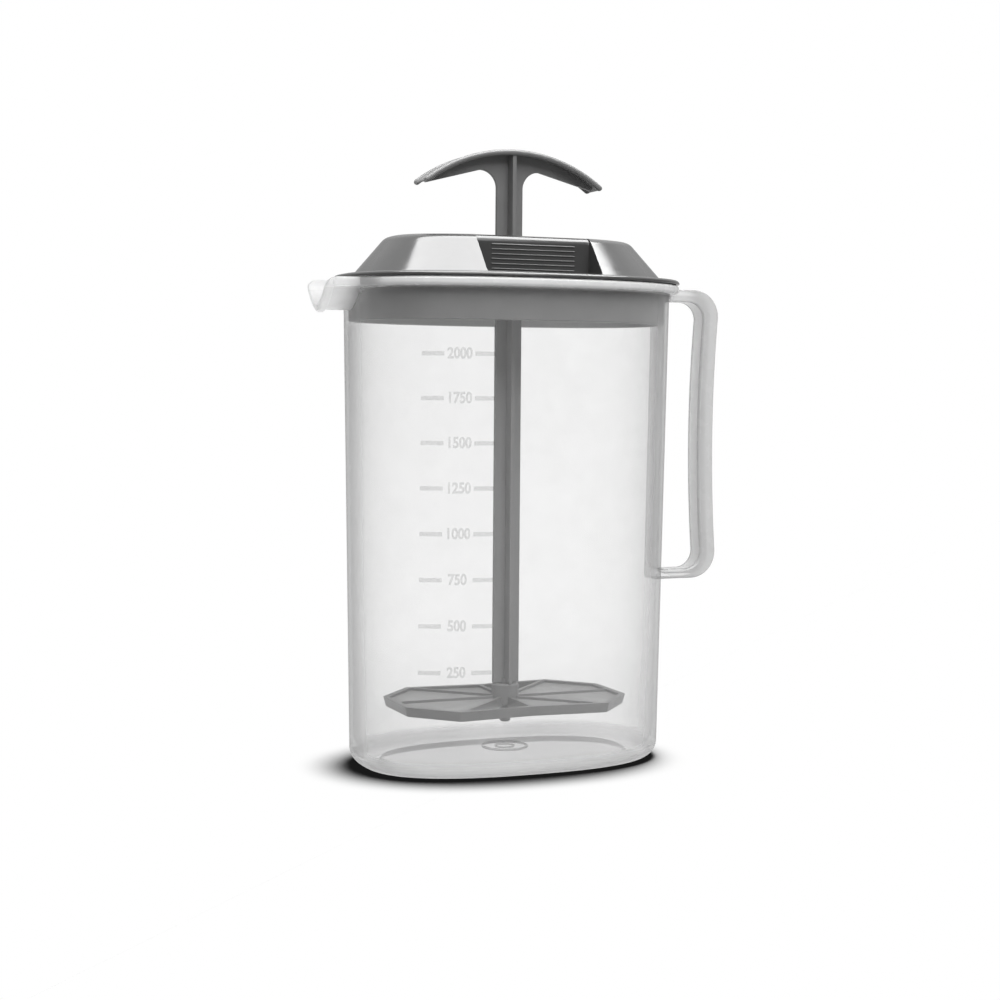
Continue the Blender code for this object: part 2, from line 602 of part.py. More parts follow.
def disc_outline():
    """The rim's upper outer corners, anticlockwise from the +X end's front corner."""
    a, end, c, b = DISC_HALF_LENGTH, DISC_END_HALF_WIDTH, DISC_CORNER_X, DISC_HALF_DEPTH
    waist = b - DISC_WAIST
    return [(a, -end), (a, end), (c, b), (0.0, waist), (-c, b), (-a, end), (-a, -end), (-c, -b), (0.0, -waist), (c, -b)]


def make_disc(material, plunger):
    top = disc_outline()
    low = inset_outline(top, [DISC_FLARE] * len(top))
    rings = [[(x, y, DISC_BOTTOM_Z) for x, y in low], [(x, y, DISC_TOP_Z) for x, y in top]]
    disc = add_object("mixing_disc", mesh_from_rings("mixing_disc", rings), material, plunger)

    a = DISC_HALF_LENGTH
    hub = (0.0, 0.0)
    spokes = [[hub, (a, 0.0), top[1], top[2]], [hub, top[2], top[3]], [hub, top[3], top[4]],
              [hub, top[4], top[5], (-a, 0.0)], [hub, (-a, 0.0), top[6], top[7]], [hub, top[7], top[8]],
              [hub, top[8], top[9]], [hub, top[9], top[0], (a, 0.0)]]
    open_fields = (1, 5)
    pockets, holes = [], []
    for number, field in enumerate(spokes):
        insets = [DISC_WALL + DISC_FLARE] * len(field)
        insets[0] = insets[-1] = SPOKE_WIDTH / 2
        shape = inset_outline(field, insets)
        (holes if number in open_fields else pockets).append(shape)
    above = add_prisms("disc_pockets_above", pockets, "Z", WEB_TOP_Z, DISC_TOP_Z + CUT_OVERRUN)
    below = add_prisms("disc_pockets_below", pockets, "Z", DISC_BOTTOM_Z - CUT_OVERRUN, WEB_BOTTOM_Z)
    through = add_prisms("disc_holes", holes, "Z", DISC_BOTTOM_Z - CUT_OVERRUN, DISC_TOP_Z + CUT_OVERRUN)
    for cutter in (above, below, through):
        boolean(disc, cutter, "DIFFERENCE")

    boss = [
        circle(HUB_RADIUS, HUB_BOTTOM_Z),
        circle(HUB_RADIUS, HUB_TOP_Z - HUB_EDGE_ROUND),
        circle(HUB_RADIUS - HUB_EDGE_ROUND, HUB_TOP_Z),
    ]
    boolean(disc, add_object("disc_hub", mesh_from_rings("disc_hub", boss)), "UNION")
    bore_radius = STUD_RADIUS + SEAT_GAP
    bore = [circle(bore_radius, DISC_BOTTOM_Z - CUT_OVERRUN), circle(bore_radius, HUB_TOP_Z + CUT_OVERRUN)]
    boolean(disc, add_object("disc_bore", mesh_from_rings("disc_bore", bore)), "DIFFERENCE")
    return disc


def main():
    clear_scene()
    add_axis()
    frosted = plastic("frosted_polypropylene", (0.84, 0.84, 0.84), 0.35, transmission=0.7)
    handle_white = plastic("frosted_handle", (0.78, 0.78, 0.78), 0.38, transmission=0.4)
    grey = plastic("grey_polypropylene", (0.13, 0.13, 0.135), 0.32)
    grey_inner = plastic("grey_inner_parts", (0.15, 0.15, 0.155), 0.4)
    make_jug(frosted)
    make_handle(handle_white)
    lid = make_lid(grey)
    make_skirt(grey, lid)
    plunger = make_plunger(grey_inner, lid)
    make_disc(grey_inner, plunger)


main()
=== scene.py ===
import math

import bmesh
import bpy
from mathutils import Matrix, Vector


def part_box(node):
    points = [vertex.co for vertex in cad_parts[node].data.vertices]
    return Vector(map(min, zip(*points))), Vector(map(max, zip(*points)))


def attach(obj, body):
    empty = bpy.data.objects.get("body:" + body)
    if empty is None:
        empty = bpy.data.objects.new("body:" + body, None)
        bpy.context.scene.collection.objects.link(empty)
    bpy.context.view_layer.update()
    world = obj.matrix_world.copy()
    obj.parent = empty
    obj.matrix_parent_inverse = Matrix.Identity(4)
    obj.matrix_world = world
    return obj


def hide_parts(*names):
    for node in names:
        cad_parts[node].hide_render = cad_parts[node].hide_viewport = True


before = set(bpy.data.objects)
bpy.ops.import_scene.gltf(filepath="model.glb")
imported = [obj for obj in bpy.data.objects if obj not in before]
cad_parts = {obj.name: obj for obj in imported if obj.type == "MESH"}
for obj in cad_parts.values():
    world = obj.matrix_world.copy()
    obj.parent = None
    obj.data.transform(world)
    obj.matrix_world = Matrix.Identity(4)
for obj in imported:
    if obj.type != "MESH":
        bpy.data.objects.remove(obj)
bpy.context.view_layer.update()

# Pieces are made in millimetres with X measured from the plunger's axis, and moved to the frame when they are kept
MM = 0.001
AXIS_X = sum(corner[0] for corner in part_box("plunger")) / 2
TO_FRAME = Matrix.Translation((AXIS_X, 0, 0)) @ Matrix.Scale(MM, 4)
# Edges that turn by more than this stay hard, and a cutting shape runs on past what it cuts
SHARP_ANGLE = math.radians(32)
OVERRUN = 4.0

# Jug
OVAL_POWER = 2.5
OVAL_SIDES = 264
JUG_HEIGHT = 225.6
JUG_TOP, JUG_BASE = (78.0, 49.8), (74.6, 46.0)
JUG_WALL = 1.8
JUG_CORNER_RADIUS = 8.0
FOOT_WIDTH, FOOT_RISE = 3.5, 3.5
FLOOR_TOP_Z = 6.0
BAND_HEIGHT, BAND_REACH, BAND_ROUND, BAND_FILLET = 4.0, 4.3, 1.5, 0.8
THICK_SKIN_DROP = 20.0
GATE_RINGS, GATE_RISE = ((10.6, 0.6), (4.4, 0.45)), 0.1

# Spout
SPOUT_TIP_X, SPOUT_LIP_LENGTH, SPOUT_LIP_REACH = 93.8, 2.6, 1.2
SPOUT_MOUTH_HALF, SPOUT_ROOT_HALF, SPOUT_DEPTH = 15.8, 21.5, 14.2
SPOUT_WALL, SPOUT_LIP_WALL, SPOUT_POWER, SPOUT_SIDES = 1.8, 2.4, 1.45, 56
SPOUT_ROOT_X, SPOUT_CORNER = 62.0, 5.0
SPOUT_FLARE_LENGTH, SPOUT_FLARE_POWER, SPOUT_FLARE_END = 18.0, 1.5, 0.4

# Side handle
HANDLE_X, HANDLE_BOW, HANDLE_THICKNESS, HANDLE_WIDTH = 109.6, 2.2, 7.8, 11.8
HANDLE_TOP_Z, HANDLE_BOTTOM_Z = 225.0, 84.0
HANDLE_TOP_ARM, HANDLE_BOTTOM_ARM = 5.8, 4.6
HANDLE_OUTER_RADIUS, HANDLE_INNER_RADIUS = 13.0, 8.5
HANDLE_SPINE, HANDLE_ROUND, HANDLE_SEAT_RADIUS, SEAT_GAP = 2.2, 0.9, 1.2, 0.3
GROOVE_DEPTH, GROOVE_FLANGE, GROOVE_ROUND = 4.6, 2.2, 0.7
SPINE_TOP_Z, NOTCH_Z = JUG_HEIGHT - BAND_HEIGHT - 1.0, JUG_HEIGHT - BAND_HEIGHT - 1.2
NOTCH_CLEARANCE, NOTCH_TOP_Z = 0.5, 240.0

# Lid
FLANGE_HALF = (82.5, 54.3)
FLANGE_BOTTOM_Z, FLANGE_TOP_Z, FLANGE_ROUND = 225.9, 227.9, 1.6
SHOULDER_INSET, SHOULDER_Z, TOP_INSET, LID_TOP_Z = 8.6, 228.3, 23.4, 245.9
LID_TOP_ROUND, LID_INNER_ROUND, LID_WALL = 6.0, 1.5, 2.2
RECESS_Y, RECESS_FLOOR_Z, RECESS_FILLET, RECESS_LIP = 29.3, 228.6, 1.4, 3.6
RECESS_FLOOR_SHARE = 0.7  # of the wall's thickness, which leaves the disc room at the top of its slide
RIB_COUNT, RIB_PITCH, RIB_HALF_LENGTH, RIB_HEIGHT = 6, 2.2, 20.5, 0.9
RIB_REACH, RIB_SINK, RIB_RISE = 0.7, 0.3, 1.9
SKIRT_BOTTOM_Z, SKIRT_MIDDLE_Z, SKIRT_TOP_Z = 206.8, 216.0, 225.6
SKIRT_WALL, SKIRT_CLEARANCE, SKIRT_ROUND = 1.8, 2.2, 0.6

# Plunger
CROWN_Z, GRIP_HALF_SPAN, GRIP_DROP, GRIP_WIDTH, GRIP_STRAP = 287.4, 45.2, 15.4, 16.4, 2.0
GRIP_BEAD, WEB_DROP, WEB_FILLET = 1.35, 9.4, 8.2
SHAFT_HALF_LENGTH, SHAFT_HALF_DEPTH, SHAFT_RIB = 6.6, 6.9, 2.0
SHAFT_BOTTOM_Z, STUD_RADIUS, STUD_BOTTOM_Z, STUD_CHAMFER = 36.8, 2.6, 18.0, 0.7
COLLAR_HALF, COLLAR_ROUND, COLLAR_BOTTOM_Z, COLLAR_TOP_Z = 7.9, 2.4, 246.2, 247.5
PLUNGER_EDGE, COLLAR_EDGE, KEYHOLE_CLEARANCE = 0.35, 0.4, 0.4

# Mixing disc
DISC_HALF_LENGTH, DISC_END_HALF, DISC_CORNER_X, DISC_HALF_DEPTH, DISC_WAIST = 56.0, 16.0, 37.0, 37.0, 3.0
DISC_BOTTOM_Z, DISC_TOP_Z, DISC_FLARE, DISC_WALL, SPOKE_WIDTH = 25.9, 30.5, 1.2, 1.7, 1.8
DISC_ROUND, DISC_WAIST_ROUND, DISC_EDGE, FIELD_ROUND, OPEN_FIELDS = 2.5, 20.0, 0.3, 0.9, (1, 5)
WEB_BOTTOM_Z, WEB_TOP_Z = 28.3, 29.3
HUB_RADIUS, HUB_BOTTOM_Z, HUB_TOP_Z, HUB_CHAMFER = 6.4, 26.8, 36.5, 0.6

# Haze of one side of the wall, from seen square on (0) to edge on (1)
OUTSIDE_HAZE = [(0.0, 0.075), (0.26, 0.12), (0.37, 0.17), (0.46, 0.22), (0.56, 0.28), (0.66, 0.30),
                (0.78, 0.27), (0.90, 0.26), (1.0, 0.32)]
INSIDE_HAZE = [(0.0, 0.035), (0.5, 0.11), (1.0, 0.13)]
THICK_HAZE = [(0.0, 0.82), (0.5, 0.86), (1.0, 0.96)]
# Haze that is added over a height: where it starts, where it is full, and how much
RIM_HAZE, LOW_HAZE, FLOOR_HAZE = (JUG_HEIGHT - 5.2, JUG_HEIGHT - 3.6, 0.4), (66, 16, 0.04), (9.5, 6.0, 0.28)
# The same along X, measured from the plunger's axis: the spout's glow, and the thicker parts of the handle
SPOUT_GLOW, ARM_HAZE, GRIP_HAZE = (-72, -78, 0.75), (80, 86, 0.18), (96, 104, 0.17)
PLASTIC_IOR = 1.49
WHITE = (1.0, 1.0, 1.0, 1.0)

# Printed scale on the front wall: marks for every 250 ml, closer together as the jug widens
SCALE_ROWS, SCALE_STEP_ML = 8, 250
SCALE_FIRST_Z, SCALE_PITCH, SCALE_SHRINK = 49.4, 21.1, 0.11
SCALE_X, SCALE_GAP, SCALE_BAR, SCALE_BAR_HEIGHT = -41.5, 6.6, 9.1, 1.9
SCALE_DIGIT, SCALE_CAP_SHARE, SCALE_BOLD, SCALE_NARROW = 4.7, 0.7, 0.24, 0.80
INK_STAND, INK_FILM = 0.08, 0.06

# Camera: angles in degrees, of which one is how far it looks aside from the axis, and lengths in millimetres
CAMERA_YAW, CAMERA_ASIDE, CAMERA_PITCH, CAMERA_ROLL = 22.7, 0.207, 3.53, 0.45
CAMERA_DISTANCE, CAMERA_HEIGHT, CAMERA_NEAR, CAMERA_SENSOR, CAMERA_LENS = 865.0, 177.0, 50.0, 36.0, 65.81

# Lamps, in metres from the plunger's axis on the table: place, target, size, watts, and whether only
# reflections show them
LAMPS = [("overhead_softbox", (0.2, -0.225, 1.5), (0.2, -0.225, 0.2), (1.64, 0.95), 7.6, False),
         ("overhead_reflection", (0.2, -0.225, 1.49), (0.2, -0.225, 0.2), (1.64, 0.95), 55, True),
         ("front_softbox", (0, -1.1, 1.25), (0, 0, 0.15), (1.2, 1.1), 16, False)]

# Brightness round the object: from where to where along a direction or place in metres, and how bright at both
BACKDROP, SWEEP, CEILING = (-0.3, 0.35, 0.25, 0.9), (0.0, 0.38, 0.4, 0.75), (0.35, 0.9, 0.0, 1.6)
ROOM, TABLE_MIRRORED = (-0.5, 0.6, 0.18, 0.5), (-0.4, 0.1, 0.25, 1.0)

# Contact shadow: how far it looks for the object and towards which side, its tones by how open the sky is, and
# how it clears by the number of plastic surfaces in front of it
TABLE_HALF, SHADOW_REACH, SHADOW_SIDE, SHADOW_SAMPLES = 30.0, 0.045, {"X": 0.22, "Y": 0.08, "Z": 0.96}, 48
SHADOW_TONES, SEEN_THROUGH = (0.47, 0.83, 0.01, 1.0), (0.5, 2.5, 0.0, 0.95)


def linear(colour):
    """sRGB hex to linear RGBA."""
    parts = [(colour >> shift & 255) / 255 for shift in (16, 8, 0)]
    return (*[p / 12.92 if p <= 0.04045 else ((p + 0.055) / 1.055) ** 2.4 for p in parts], 1.0)


def add_node(tree, kind, inputs=None, **settings):
    """Adds a node; an input given as a socket is linked, and anything else is its value."""
    node = tree.nodes.new(kind)
    for name, value in settings.items():
        setattr(node, name, value)
    for key, value in (inputs or {}).items():
        if isinstance(value, bpy.types.NodeSocket):
            tree.links.new(value, node.inputs[key])
        else:
            node.inputs[key].default_value = value
    return node


def socket(tree, kind, inputs=None, **settings):
    """The first output of a new node."""
    return add_node(tree, kind, inputs, **settings).outputs[0]


def calc(tree, operation, *values, use_clamp=False):
    """One step of arithmetic on sockets and numbers."""
    return socket(tree, "ShaderNodeMath", dict(enumerate(values)), operation=operation, use_clamp=use_clamp)


def vector(tree, **parts):
    """A vector of sockets and numbers; a part that isn't given is 0."""
    return socket(tree, "ShaderNodeCombineXYZ", parts)


def axes(tree, kind="ShaderNodeTexCoord", output="Object"):
    """The X, Y and Z of a place or direction."""
    return add_node(tree, "ShaderNodeSeparateXYZ", {0: add_node(tree, kind).outputs[output]}).outputs


def mapped(tree, value, start, end, low, high, kind="LINEAR"):
    """Maps a socket's values from start to end onto values from low to high."""
    return socket(tree, "ShaderNodeMapRange", {
        "Value": value, "From Min": start, "From Max": end, "To Min": low, "To Max": high},
        interpolation_type=kind)


# --- Meshes ---

def linked(name, data):
    """A new object in the scene."""
    thing = bpy.data.objects.new(name, data)
    bpy.context.scene.collection.objects.link(thing)
    return thing


def settle(thing, helpers=()):
    """The object's evaluated mesh; the object and its helpers are removed."""
    mesh = bpy.data.meshes.new_from_object(thing.evaluated_get(bpy.context.evaluated_depsgraph_get()))
    for used in (thing, *helpers):
        bpy.data.objects.remove(used, do_unlink=True)
    return mesh


def combined(mesh, tools, operation):
    """Joins tools to a mesh, or cuts them from it."""
    thing = linked("scratch", mesh)
    helpers = [linked("scratch", tool) for tool in tools]
    for helper in helpers:
        change = thing.modifiers.new("combine", "BOOLEAN")
        change.operation, change.solver, change.object = operation, "EXACT", helper
    return settle(thing, helpers)


def modified(mesh, kind, **settings):
    """The mesh after a modifier."""
    thing = linked("scratch", mesh)
    change = thing.modifiers.new("change", kind)
    for name, value in settings.items():
        setattr(change, name, value)
    return settle(thing)


def rounded(mesh, width, segments=3):
    return modified(mesh, "BEVEL", width=width, segments=segments, limit_method="ANGLE",
                    angle_limit=SHARP_ANGLE, use_clamp_overlap=True)


def smooth(mesh):
    """Smooth shading that keeps flat faces flat and hard edges hard."""
    mesh.shade_smooth()
    mesh.set_sharp_from_angle(angle=SHARP_ANGLE)
    return modified(mesh, "WEIGHTED_NORMAL", keep_sharp=True)


def thickened(mesh):
    """Gives a flat print the thickness of its ink film, with its sides closed."""
    return modified(mesh, "SOLIDIFY", thickness=INK_FILM, offset=1.0)


def released(bm, name):
    """What was built in a BMesh, which is freed."""
    mesh = bpy.data.meshes.new(name)
    bm.to_mesh(mesh)
    bm.free()
    return mesh


def merged(meshes):
    """One mesh of several, whose surfaces stay apart."""
    bm = bmesh.new()
    for mesh in meshes:
        bm.from_mesh(mesh)
    return released(bm, "merged")


def mesh_from_rings(rings, closed=False):
    """Bridges rings of equal length; the first and last are capped, or joined to each other when closed."""
    bm = bmesh.new()
    loops = [[bm.verts.new(point) for point in ring] for ring in rings]
    pairs = list(zip(loops, loops[1:]))
    if closed:
        pairs.append((loops[-1], loops[0]))
    for lower, upper in pairs:
        for here in range(len(lower)):
            after = (here + 1) % len(lower)
            bm.faces.new((lower[here], lower[after], upper[after], upper[here]))
    if not closed:
        bm.faces.new(loops[0])
        bm.faces.new(loops[-1])
    bmesh.ops.recalc_face_normals(bm, faces=bm.faces)
    return released(bm, "rings")


def prism(outline, axis, start, end):
    """An outline of coordinate pairs, drawn out along the axis X, Y or Z."""
    at = "XYZ".index(axis)
    return mesh_from_rings([[(*pair[:at], place, *pair[at:]) for pair in outline] for place in (start, end)])


def turned(profile, sides=48):
    """A round solid from its profile of radius and height."""
    return mesh_from_rings([[(radius * math.cos(turn), radius * math.sin(turn), z)
                             for turn in spread(0, math.tau, sides + 1)[:-1]] for radius, z in profile])


def rectangle(length, depth):
    """The outline of a rectangle, by half its length and depth."""
    return [(-length, -depth), (length, -depth), (length, depth), (-length, depth)]


def keep_piece(name, mesh, body, materials, replaced=None):
    """Moves a mesh to the frame and keeps it as a piece of a body, in a material slot."""
    mesh.transform(TO_FRAME)
    mesh.name = name
    mesh.materials.clear()
    for material in materials:
        mesh.materials.append(material)
    piece = linked(name, mesh)
    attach(piece, body)
    if replaced:
        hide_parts(replaced)
    return piece


def spread(start, end, count):
    """Evenly spaced values with both ends."""
    return [start + (end - start) * step / (count - 1) for step in range(count)]


def oval_point(halves, angle):
    """A point of the superellipse that the jug and lid share, from half its length and depth."""
    across, along = math.cos(angle), math.sin(angle)
    return (halves[0] * math.copysign(abs(across) ** (2 / OVAL_POWER), across),
            halves[1] * math.copysign(abs(along) ** (2 / OVAL_POWER), along))


def oval_depth(halves, x):
    """How far from the middle the superellipse runs at an X."""
    return halves[1] * (1 - abs(x / halves[0]) ** OVAL_POWER) ** (1 / OVAL_POWER)


def oval(halves, z):
    """Points spaced evenly along the superellipse, so that its ends stay round."""
    dense = [oval_point(halves, math.tau * step / 2880) for step in range(2881)]
    ring, travelled, here = [], 0.0, 0
    lengths = [math.dist(a, b) for a, b in zip(dense, dense[1:])]
    pace = sum(lengths) / OVAL_SIDES
    for step in range(OVAL_SIDES):
        while travelled + lengths[here] < step * pace:
            travelled += lengths[here]
            here += 1
        share = (step * pace - travelled) / lengths[here]
        (ax, ay), (bx, by) = dense[here], dense[here + 1]
        ring.append((ax + (bx - ax) * share, ay + (by - ay) * share, z))
    return ring


def jug_halves(z):
    """Half the jug's length and depth at a height: the wall is drafted."""
    rise = z / JUG_HEIGHT
    return tuple(base + (top - base) * rise for base, top in zip(JUG_BASE, JUG_TOP))


def shrunk(halves, inset):
    return halves[0] - inset, halves[1] - inset


def arc(centre, radius, start, end, steps):
    """Points on an arc between two angles in degrees."""
    turns = [math.radians(turn) for turn in spread(start, end, steps + 1)]
    return [(centre[0] + radius * math.cos(turn), centre[1] + radius * math.sin(turn)) for turn in turns]


def rounded_outline(corners, radii, steps=10):
    """A closed outline with an arc at each corner."""
    points = []
    for here, corner in enumerate(corners):
        corner = Vector(corner)
        back = (Vector(corners[here - 1]) - corner).normalized()
        ahead = (Vector(corners[(here + 1) % len(corners)]) - corner).normalized()
        half = back.angle(ahead) / 2
        centre = corner + (back + ahead).normalized() * radii[here] / math.sin(half)
        start = corner + back * radii[here] / math.tan(half) - centre
        end = corner + ahead * radii[here] / math.tan(half) - centre
        points += [tuple(centre + start.slerp(end, step / steps) * radii[here]) for step in range(steps + 1)]
    return points


# --- Jug ---

def spout_section(x, half_width, depth):
    """A trough section between a V and a U, open side up and closed by a level line at the rim."""
    ring = []
    for turn in spread(0.0, math.pi, SPOUT_SIDES + 1):
        y = half_width * math.copysign(abs(math.cos(turn)) ** (2 / SPOUT_POWER), math.cos(turn))
        ring.append((-x, y, JUG_HEIGHT - depth * abs(math.sin(turn)) ** (2 / SPOUT_POWER)))
    return ring


def jug_skin(face):
    """A face's finish: 0 is the textured outside, 1 the polished inside, and 2 the thick rim and spout."""
    x, y, z = face.center
    length, depth = jug_halves(z)
    past_wall = (abs(x) / (length + 0.4)) ** OVAL_POWER + (abs(y) / (depth + 0.4)) ** OVAL_POWER > 1
    if z > JUG_HEIGHT - THICK_SKIN_DROP and past_wall:
        return 2
    looks_inward = face.normal.x * x + face.normal.y * y < 0
    return int(z > FLOOR_TOP_Z - 1 and (looks_inward or z < FLOOR_TOP_Z + 1))


def make_jug(materials):
    """The moulded shell: foot ring round a raised base, drafted wall, rounded rim band and a trough spout."""
    foot = JUG_CORNER_RADIUS + FOOT_WIDTH
    profile = [(foot + FOOT_RISE, FOOT_RISE), (foot + 0.5, 0.3), (foot - 0.1, 0.0)]
    profile += arc((JUG_CORNER_RADIUS, JUG_CORNER_RADIUS), JUG_CORNER_RADIUS, 270, 180, 14)
    bottom, top = JUG_HEIGHT - BAND_HEIGHT, JUG_HEIGHT
    profile += [(0.0, z) for z in spread(20, bottom - 1.0, 9)]
    profile += arc((-BAND_FILLET, bottom - BAND_FILLET), BAND_FILLET, 0, 90, 4)
    reach = -BAND_REACH + BAND_ROUND
    profile += arc((reach, bottom + BAND_ROUND), BAND_ROUND, 270, 180, 6)
    profile += arc((reach, top - BAND_ROUND), BAND_ROUND, 180, 90, 6)
    jug = mesh_from_rings([oval(shrunk(jug_halves(z), inset), z) for inset, z in profile])

    mouth_x = SPOUT_TIP_X - SPOUT_LIP_LENGTH
    narrowing = SPOUT_ROOT_HALF - SPOUT_MOUTH_HALF - SPOUT_FLARE_END
    flare = [(SPOUT_ROOT_X + SPOUT_FLARE_LENGTH * share, SPOUT_ROOT_HALF - narrowing * share ** SPOUT_FLARE_POWER)
             for share in spread(0, 1, 10)]
    stations = [(x, width, SPOUT_DEPTH) for x, width in flare]
    stations += [(mouth_x - 2.0, SPOUT_MOUTH_HALF + 0.1, SPOUT_DEPTH + 0.05)]
    lip = arc((mouth_x + 0.1, 0.0), SPOUT_LIP_REACH, 180, 90, 5)[:-1]
    lip += arc((SPOUT_TIP_X - SPOUT_LIP_REACH, 0.0), SPOUT_LIP_REACH, 90, 0, 5)
    stations += [(x, SPOUT_MOUTH_HALF + grow, SPOUT_DEPTH + grow) for x, grow in lip]
    trough = mesh_from_rings([spout_section(*station) for station in stations])
    root, mouth = SPOUT_ROOT_HALF + 1.0, SPOUT_MOUTH_HALF + 2.0
    outline = [(-SPOUT_ROOT_X, -root), (-SPOUT_ROOT_X, root), (-mouth_x, mouth), (-mouth_x, -mouth)]
    spout_band = rounded(prism(outline, "Z", bottom, top), BAND_ROUND, 4)
    jug = combined(jug, [trough, spout_band], "UNION")

    inside = [(JUG_WALL + x, FLOOR_TOP_Z + z) for x, z in
              arc((JUG_CORNER_RADIUS, JUG_CORNER_RADIUS), JUG_CORNER_RADIUS, 270, 180, 12)]
    inside += [(JUG_WALL, z) for z in spread(20, top - 0.8, 9)] + [(JUG_WALL - 0.5, top), (JUG_WALL - 0.5, top + 4)]
    cavity = mesh_from_rings([oval(shrunk(jug_halves(z), inset), z) for inset, z in inside])
    channel = []
    flare[0] = (SPOUT_ROOT_X - 1, SPOUT_ROOT_HALF)
    for x, width in flare + [(mouth_x, SPOUT_MOUTH_HALF), (SPOUT_TIP_X - 0.8, SPOUT_MOUTH_HALF + 0.2),
                             (SPOUT_TIP_X + OVERRUN, SPOUT_MOUTH_HALF + 3)]:
        wall = SPOUT_WALL if x < JUG_TOP[0] + 3 else SPOUT_LIP_WALL
        ring = spout_section(x, width - wall, SPOUT_DEPTH - wall + (width - SPOUT_MOUTH_HALF) * (x > mouth_x))
        channel.append(ring + [(-x, side * (width - wall), top + OVERRUN) for side in (-1, 1)])
    corner_x, corner_z = -SPOUT_TIP_X + SPOUT_CORNER, top - SPOUT_CORNER
    corner = arc((corner_x, corner_z), SPOUT_CORNER, 180, 90, 12)
    corner += [(corner_x, top + OVERRUN), (-SPOUT_TIP_X - OVERRUN, top + OVERRUN), (-SPOUT_TIP_X - OVERRUN, corner_z)]
    lip_cut = prism(corner, "Y", -root, root)
    jug = smooth(combined(jug, [cavity, mesh_from_rings(channel), lip_cut], "DIFFERENCE"))
    skins = [jug_skin(face) for face in jug.polygons]
    piece = keep_piece("frosted_jug", jug, "pitcher", materials, "pitcher_body")
    piece.data.polygons.foreach_set("material_index", skins)


def make_gate_ring(material):
    """The two low rings that the injection gate leaves in the middle of the floor."""
    beads = []
    for radius, bead in GATE_RINGS:
        section = arc((radius, FLOOR_TOP_Z + GATE_RISE), bead, 0, 360, 12)[:-1]
        beads.append(mesh_from_rings([[(r * math.cos(turn), r * math.sin(turn), z) for r, z in section]
                                      for turn in spread(0, math.tau, 97)[:-1]], closed=True))
    keep_piece("gate_ring", smooth(merged(beads)), "pitcher", [material])


# --- Side handle ---

def handle_loop(grip_x, top_z, bottom_z, radius, inset):
    """One loop of the handle in the XZ plane, its grip bowed towards the jug."""
    corners = [(jug_halves(bottom_z)[0] + inset, bottom_z), (grip_x, bottom_z), (grip_x, top_z),
               (jug_halves(SPINE_TOP_Z)[0] + inset, top_z)]
    outline = rounded_outline(corners, [HANDLE_SEAT_RADIUS, radius, radius, HANDLE_SEAT_RADIUS])
    side = len(outline) // 4
    (low_x, low_z), (high_x, high_z) = outline[2 * side - 1], outline[2 * side]
    grip = []
    for share in spread(0, 1, 30)[1:-1]:
        bow = HANDLE_BOW * (1 - (2 * share - 1) ** 2)
        grip.append((low_x + (high_x - low_x) * share - bow, low_z + (high_z - low_z) * share))
    return outline[:2 * side] + grip + outline[2 * side:]


def make_handle(material):
    """A closed loop with a C-shaped grip: a rounded back, and a groove between two flanges towards the fingers."""
    half = HANDLE_WIDTH / 2
    outer = handle_loop(HANDLE_X, HANDLE_TOP_Z, HANDLE_BOTTOM_Z, HANDLE_OUTER_RADIUS, SEAT_GAP)
    inner = handle_loop(HANDLE_X - HANDLE_THICKNESS, HANDLE_TOP_Z - HANDLE_TOP_ARM,
                        HANDLE_BOTTOM_Z + HANDLE_BOTTOM_ARM, HANDLE_INNER_RADIUS, SEAT_GAP + HANDLE_SPINE)
    rings = [[(x, place, z) for x, z in outline]
             for place, outline in ((-half, outer), (half, outer), (half, inner), (-half, inner))]
    handle = rounded(mesh_from_rings(rings, closed=True), HANDLE_ROUND, 4)
    notch_x = FLANGE_HALF[0] + NOTCH_CLEARANCE
    notch = [(0, NOTCH_Z), (notch_x, NOTCH_Z), (notch_x, NOTCH_TOP_Z), (0, NOTCH_TOP_Z)]
    groove = handle_loop(HANDLE_X - HANDLE_THICKNESS + GROOVE_DEPTH, HANDLE_TOP_Z - HANDLE_TOP_ARM / 2,
                         HANDLE_BOTTOM_Z + HANDLE_BOTTOM_ARM / 2, HANDLE_INNER_RADIUS + HANDLE_ROUND,
                         BAND_REACH + HANDLE_SPINE)
    groove_half = half - GROOVE_FLANGE
    tools = [prism(notch, "Y", -half - OVERRUN, half + OVERRUN),
             rounded(prism(groove, "Y", -groove_half, groove_half), GROOVE_ROUND)]
    handle = combined(handle, tools, "DIFFERENCE")
    keep_piece("grip_handle", smooth(handle), "pitcher", [material], "side_handle")


# --- Lid ---

# Columns across half the front shoulder: X, and how far the section is from the recess (0) to the plain slope (1)
RECESS_COLUMNS = [(2.0, 0), (8.0, 0), (14.0, 0), (20.0, 0), (25.0, 0), (27.4, 0), (27.62, 0.01), (27.76, 0.04),
                  (27.86, 0.12), (27.93, 0.26), (27.98, 0.42), (28.02, 0.58), (28.07, 0.74), (28.14, 0.88),
                  (28.24, 0.96), (28.38, 1.0), (30.0, 1.0), (34.5, 1.0)]
END_COLUMNS = 44


def lid_columns():
    """Half a turn of columns from the +X end: ("angle", share) round that end, ("x", x, share) along the front,
    and ("mirror", share) round the other end."""
    quarter = [("angle", share) for share in spread(0, 1, END_COLUMNS + 1)[:-1]]
    quarter += [("x", x, share) for x, share in reversed(RECESS_COLUMNS)]
    mirrored = []
    for column in reversed(quarter[1:]):
        mirrored.append(("mirror", column[1]) if column[0] == "angle" else ("x", -column[1], column[2]))
    return quarter + [("x", 0.0, 0)] + mirrored


LID_COLUMNS = lid_columns()


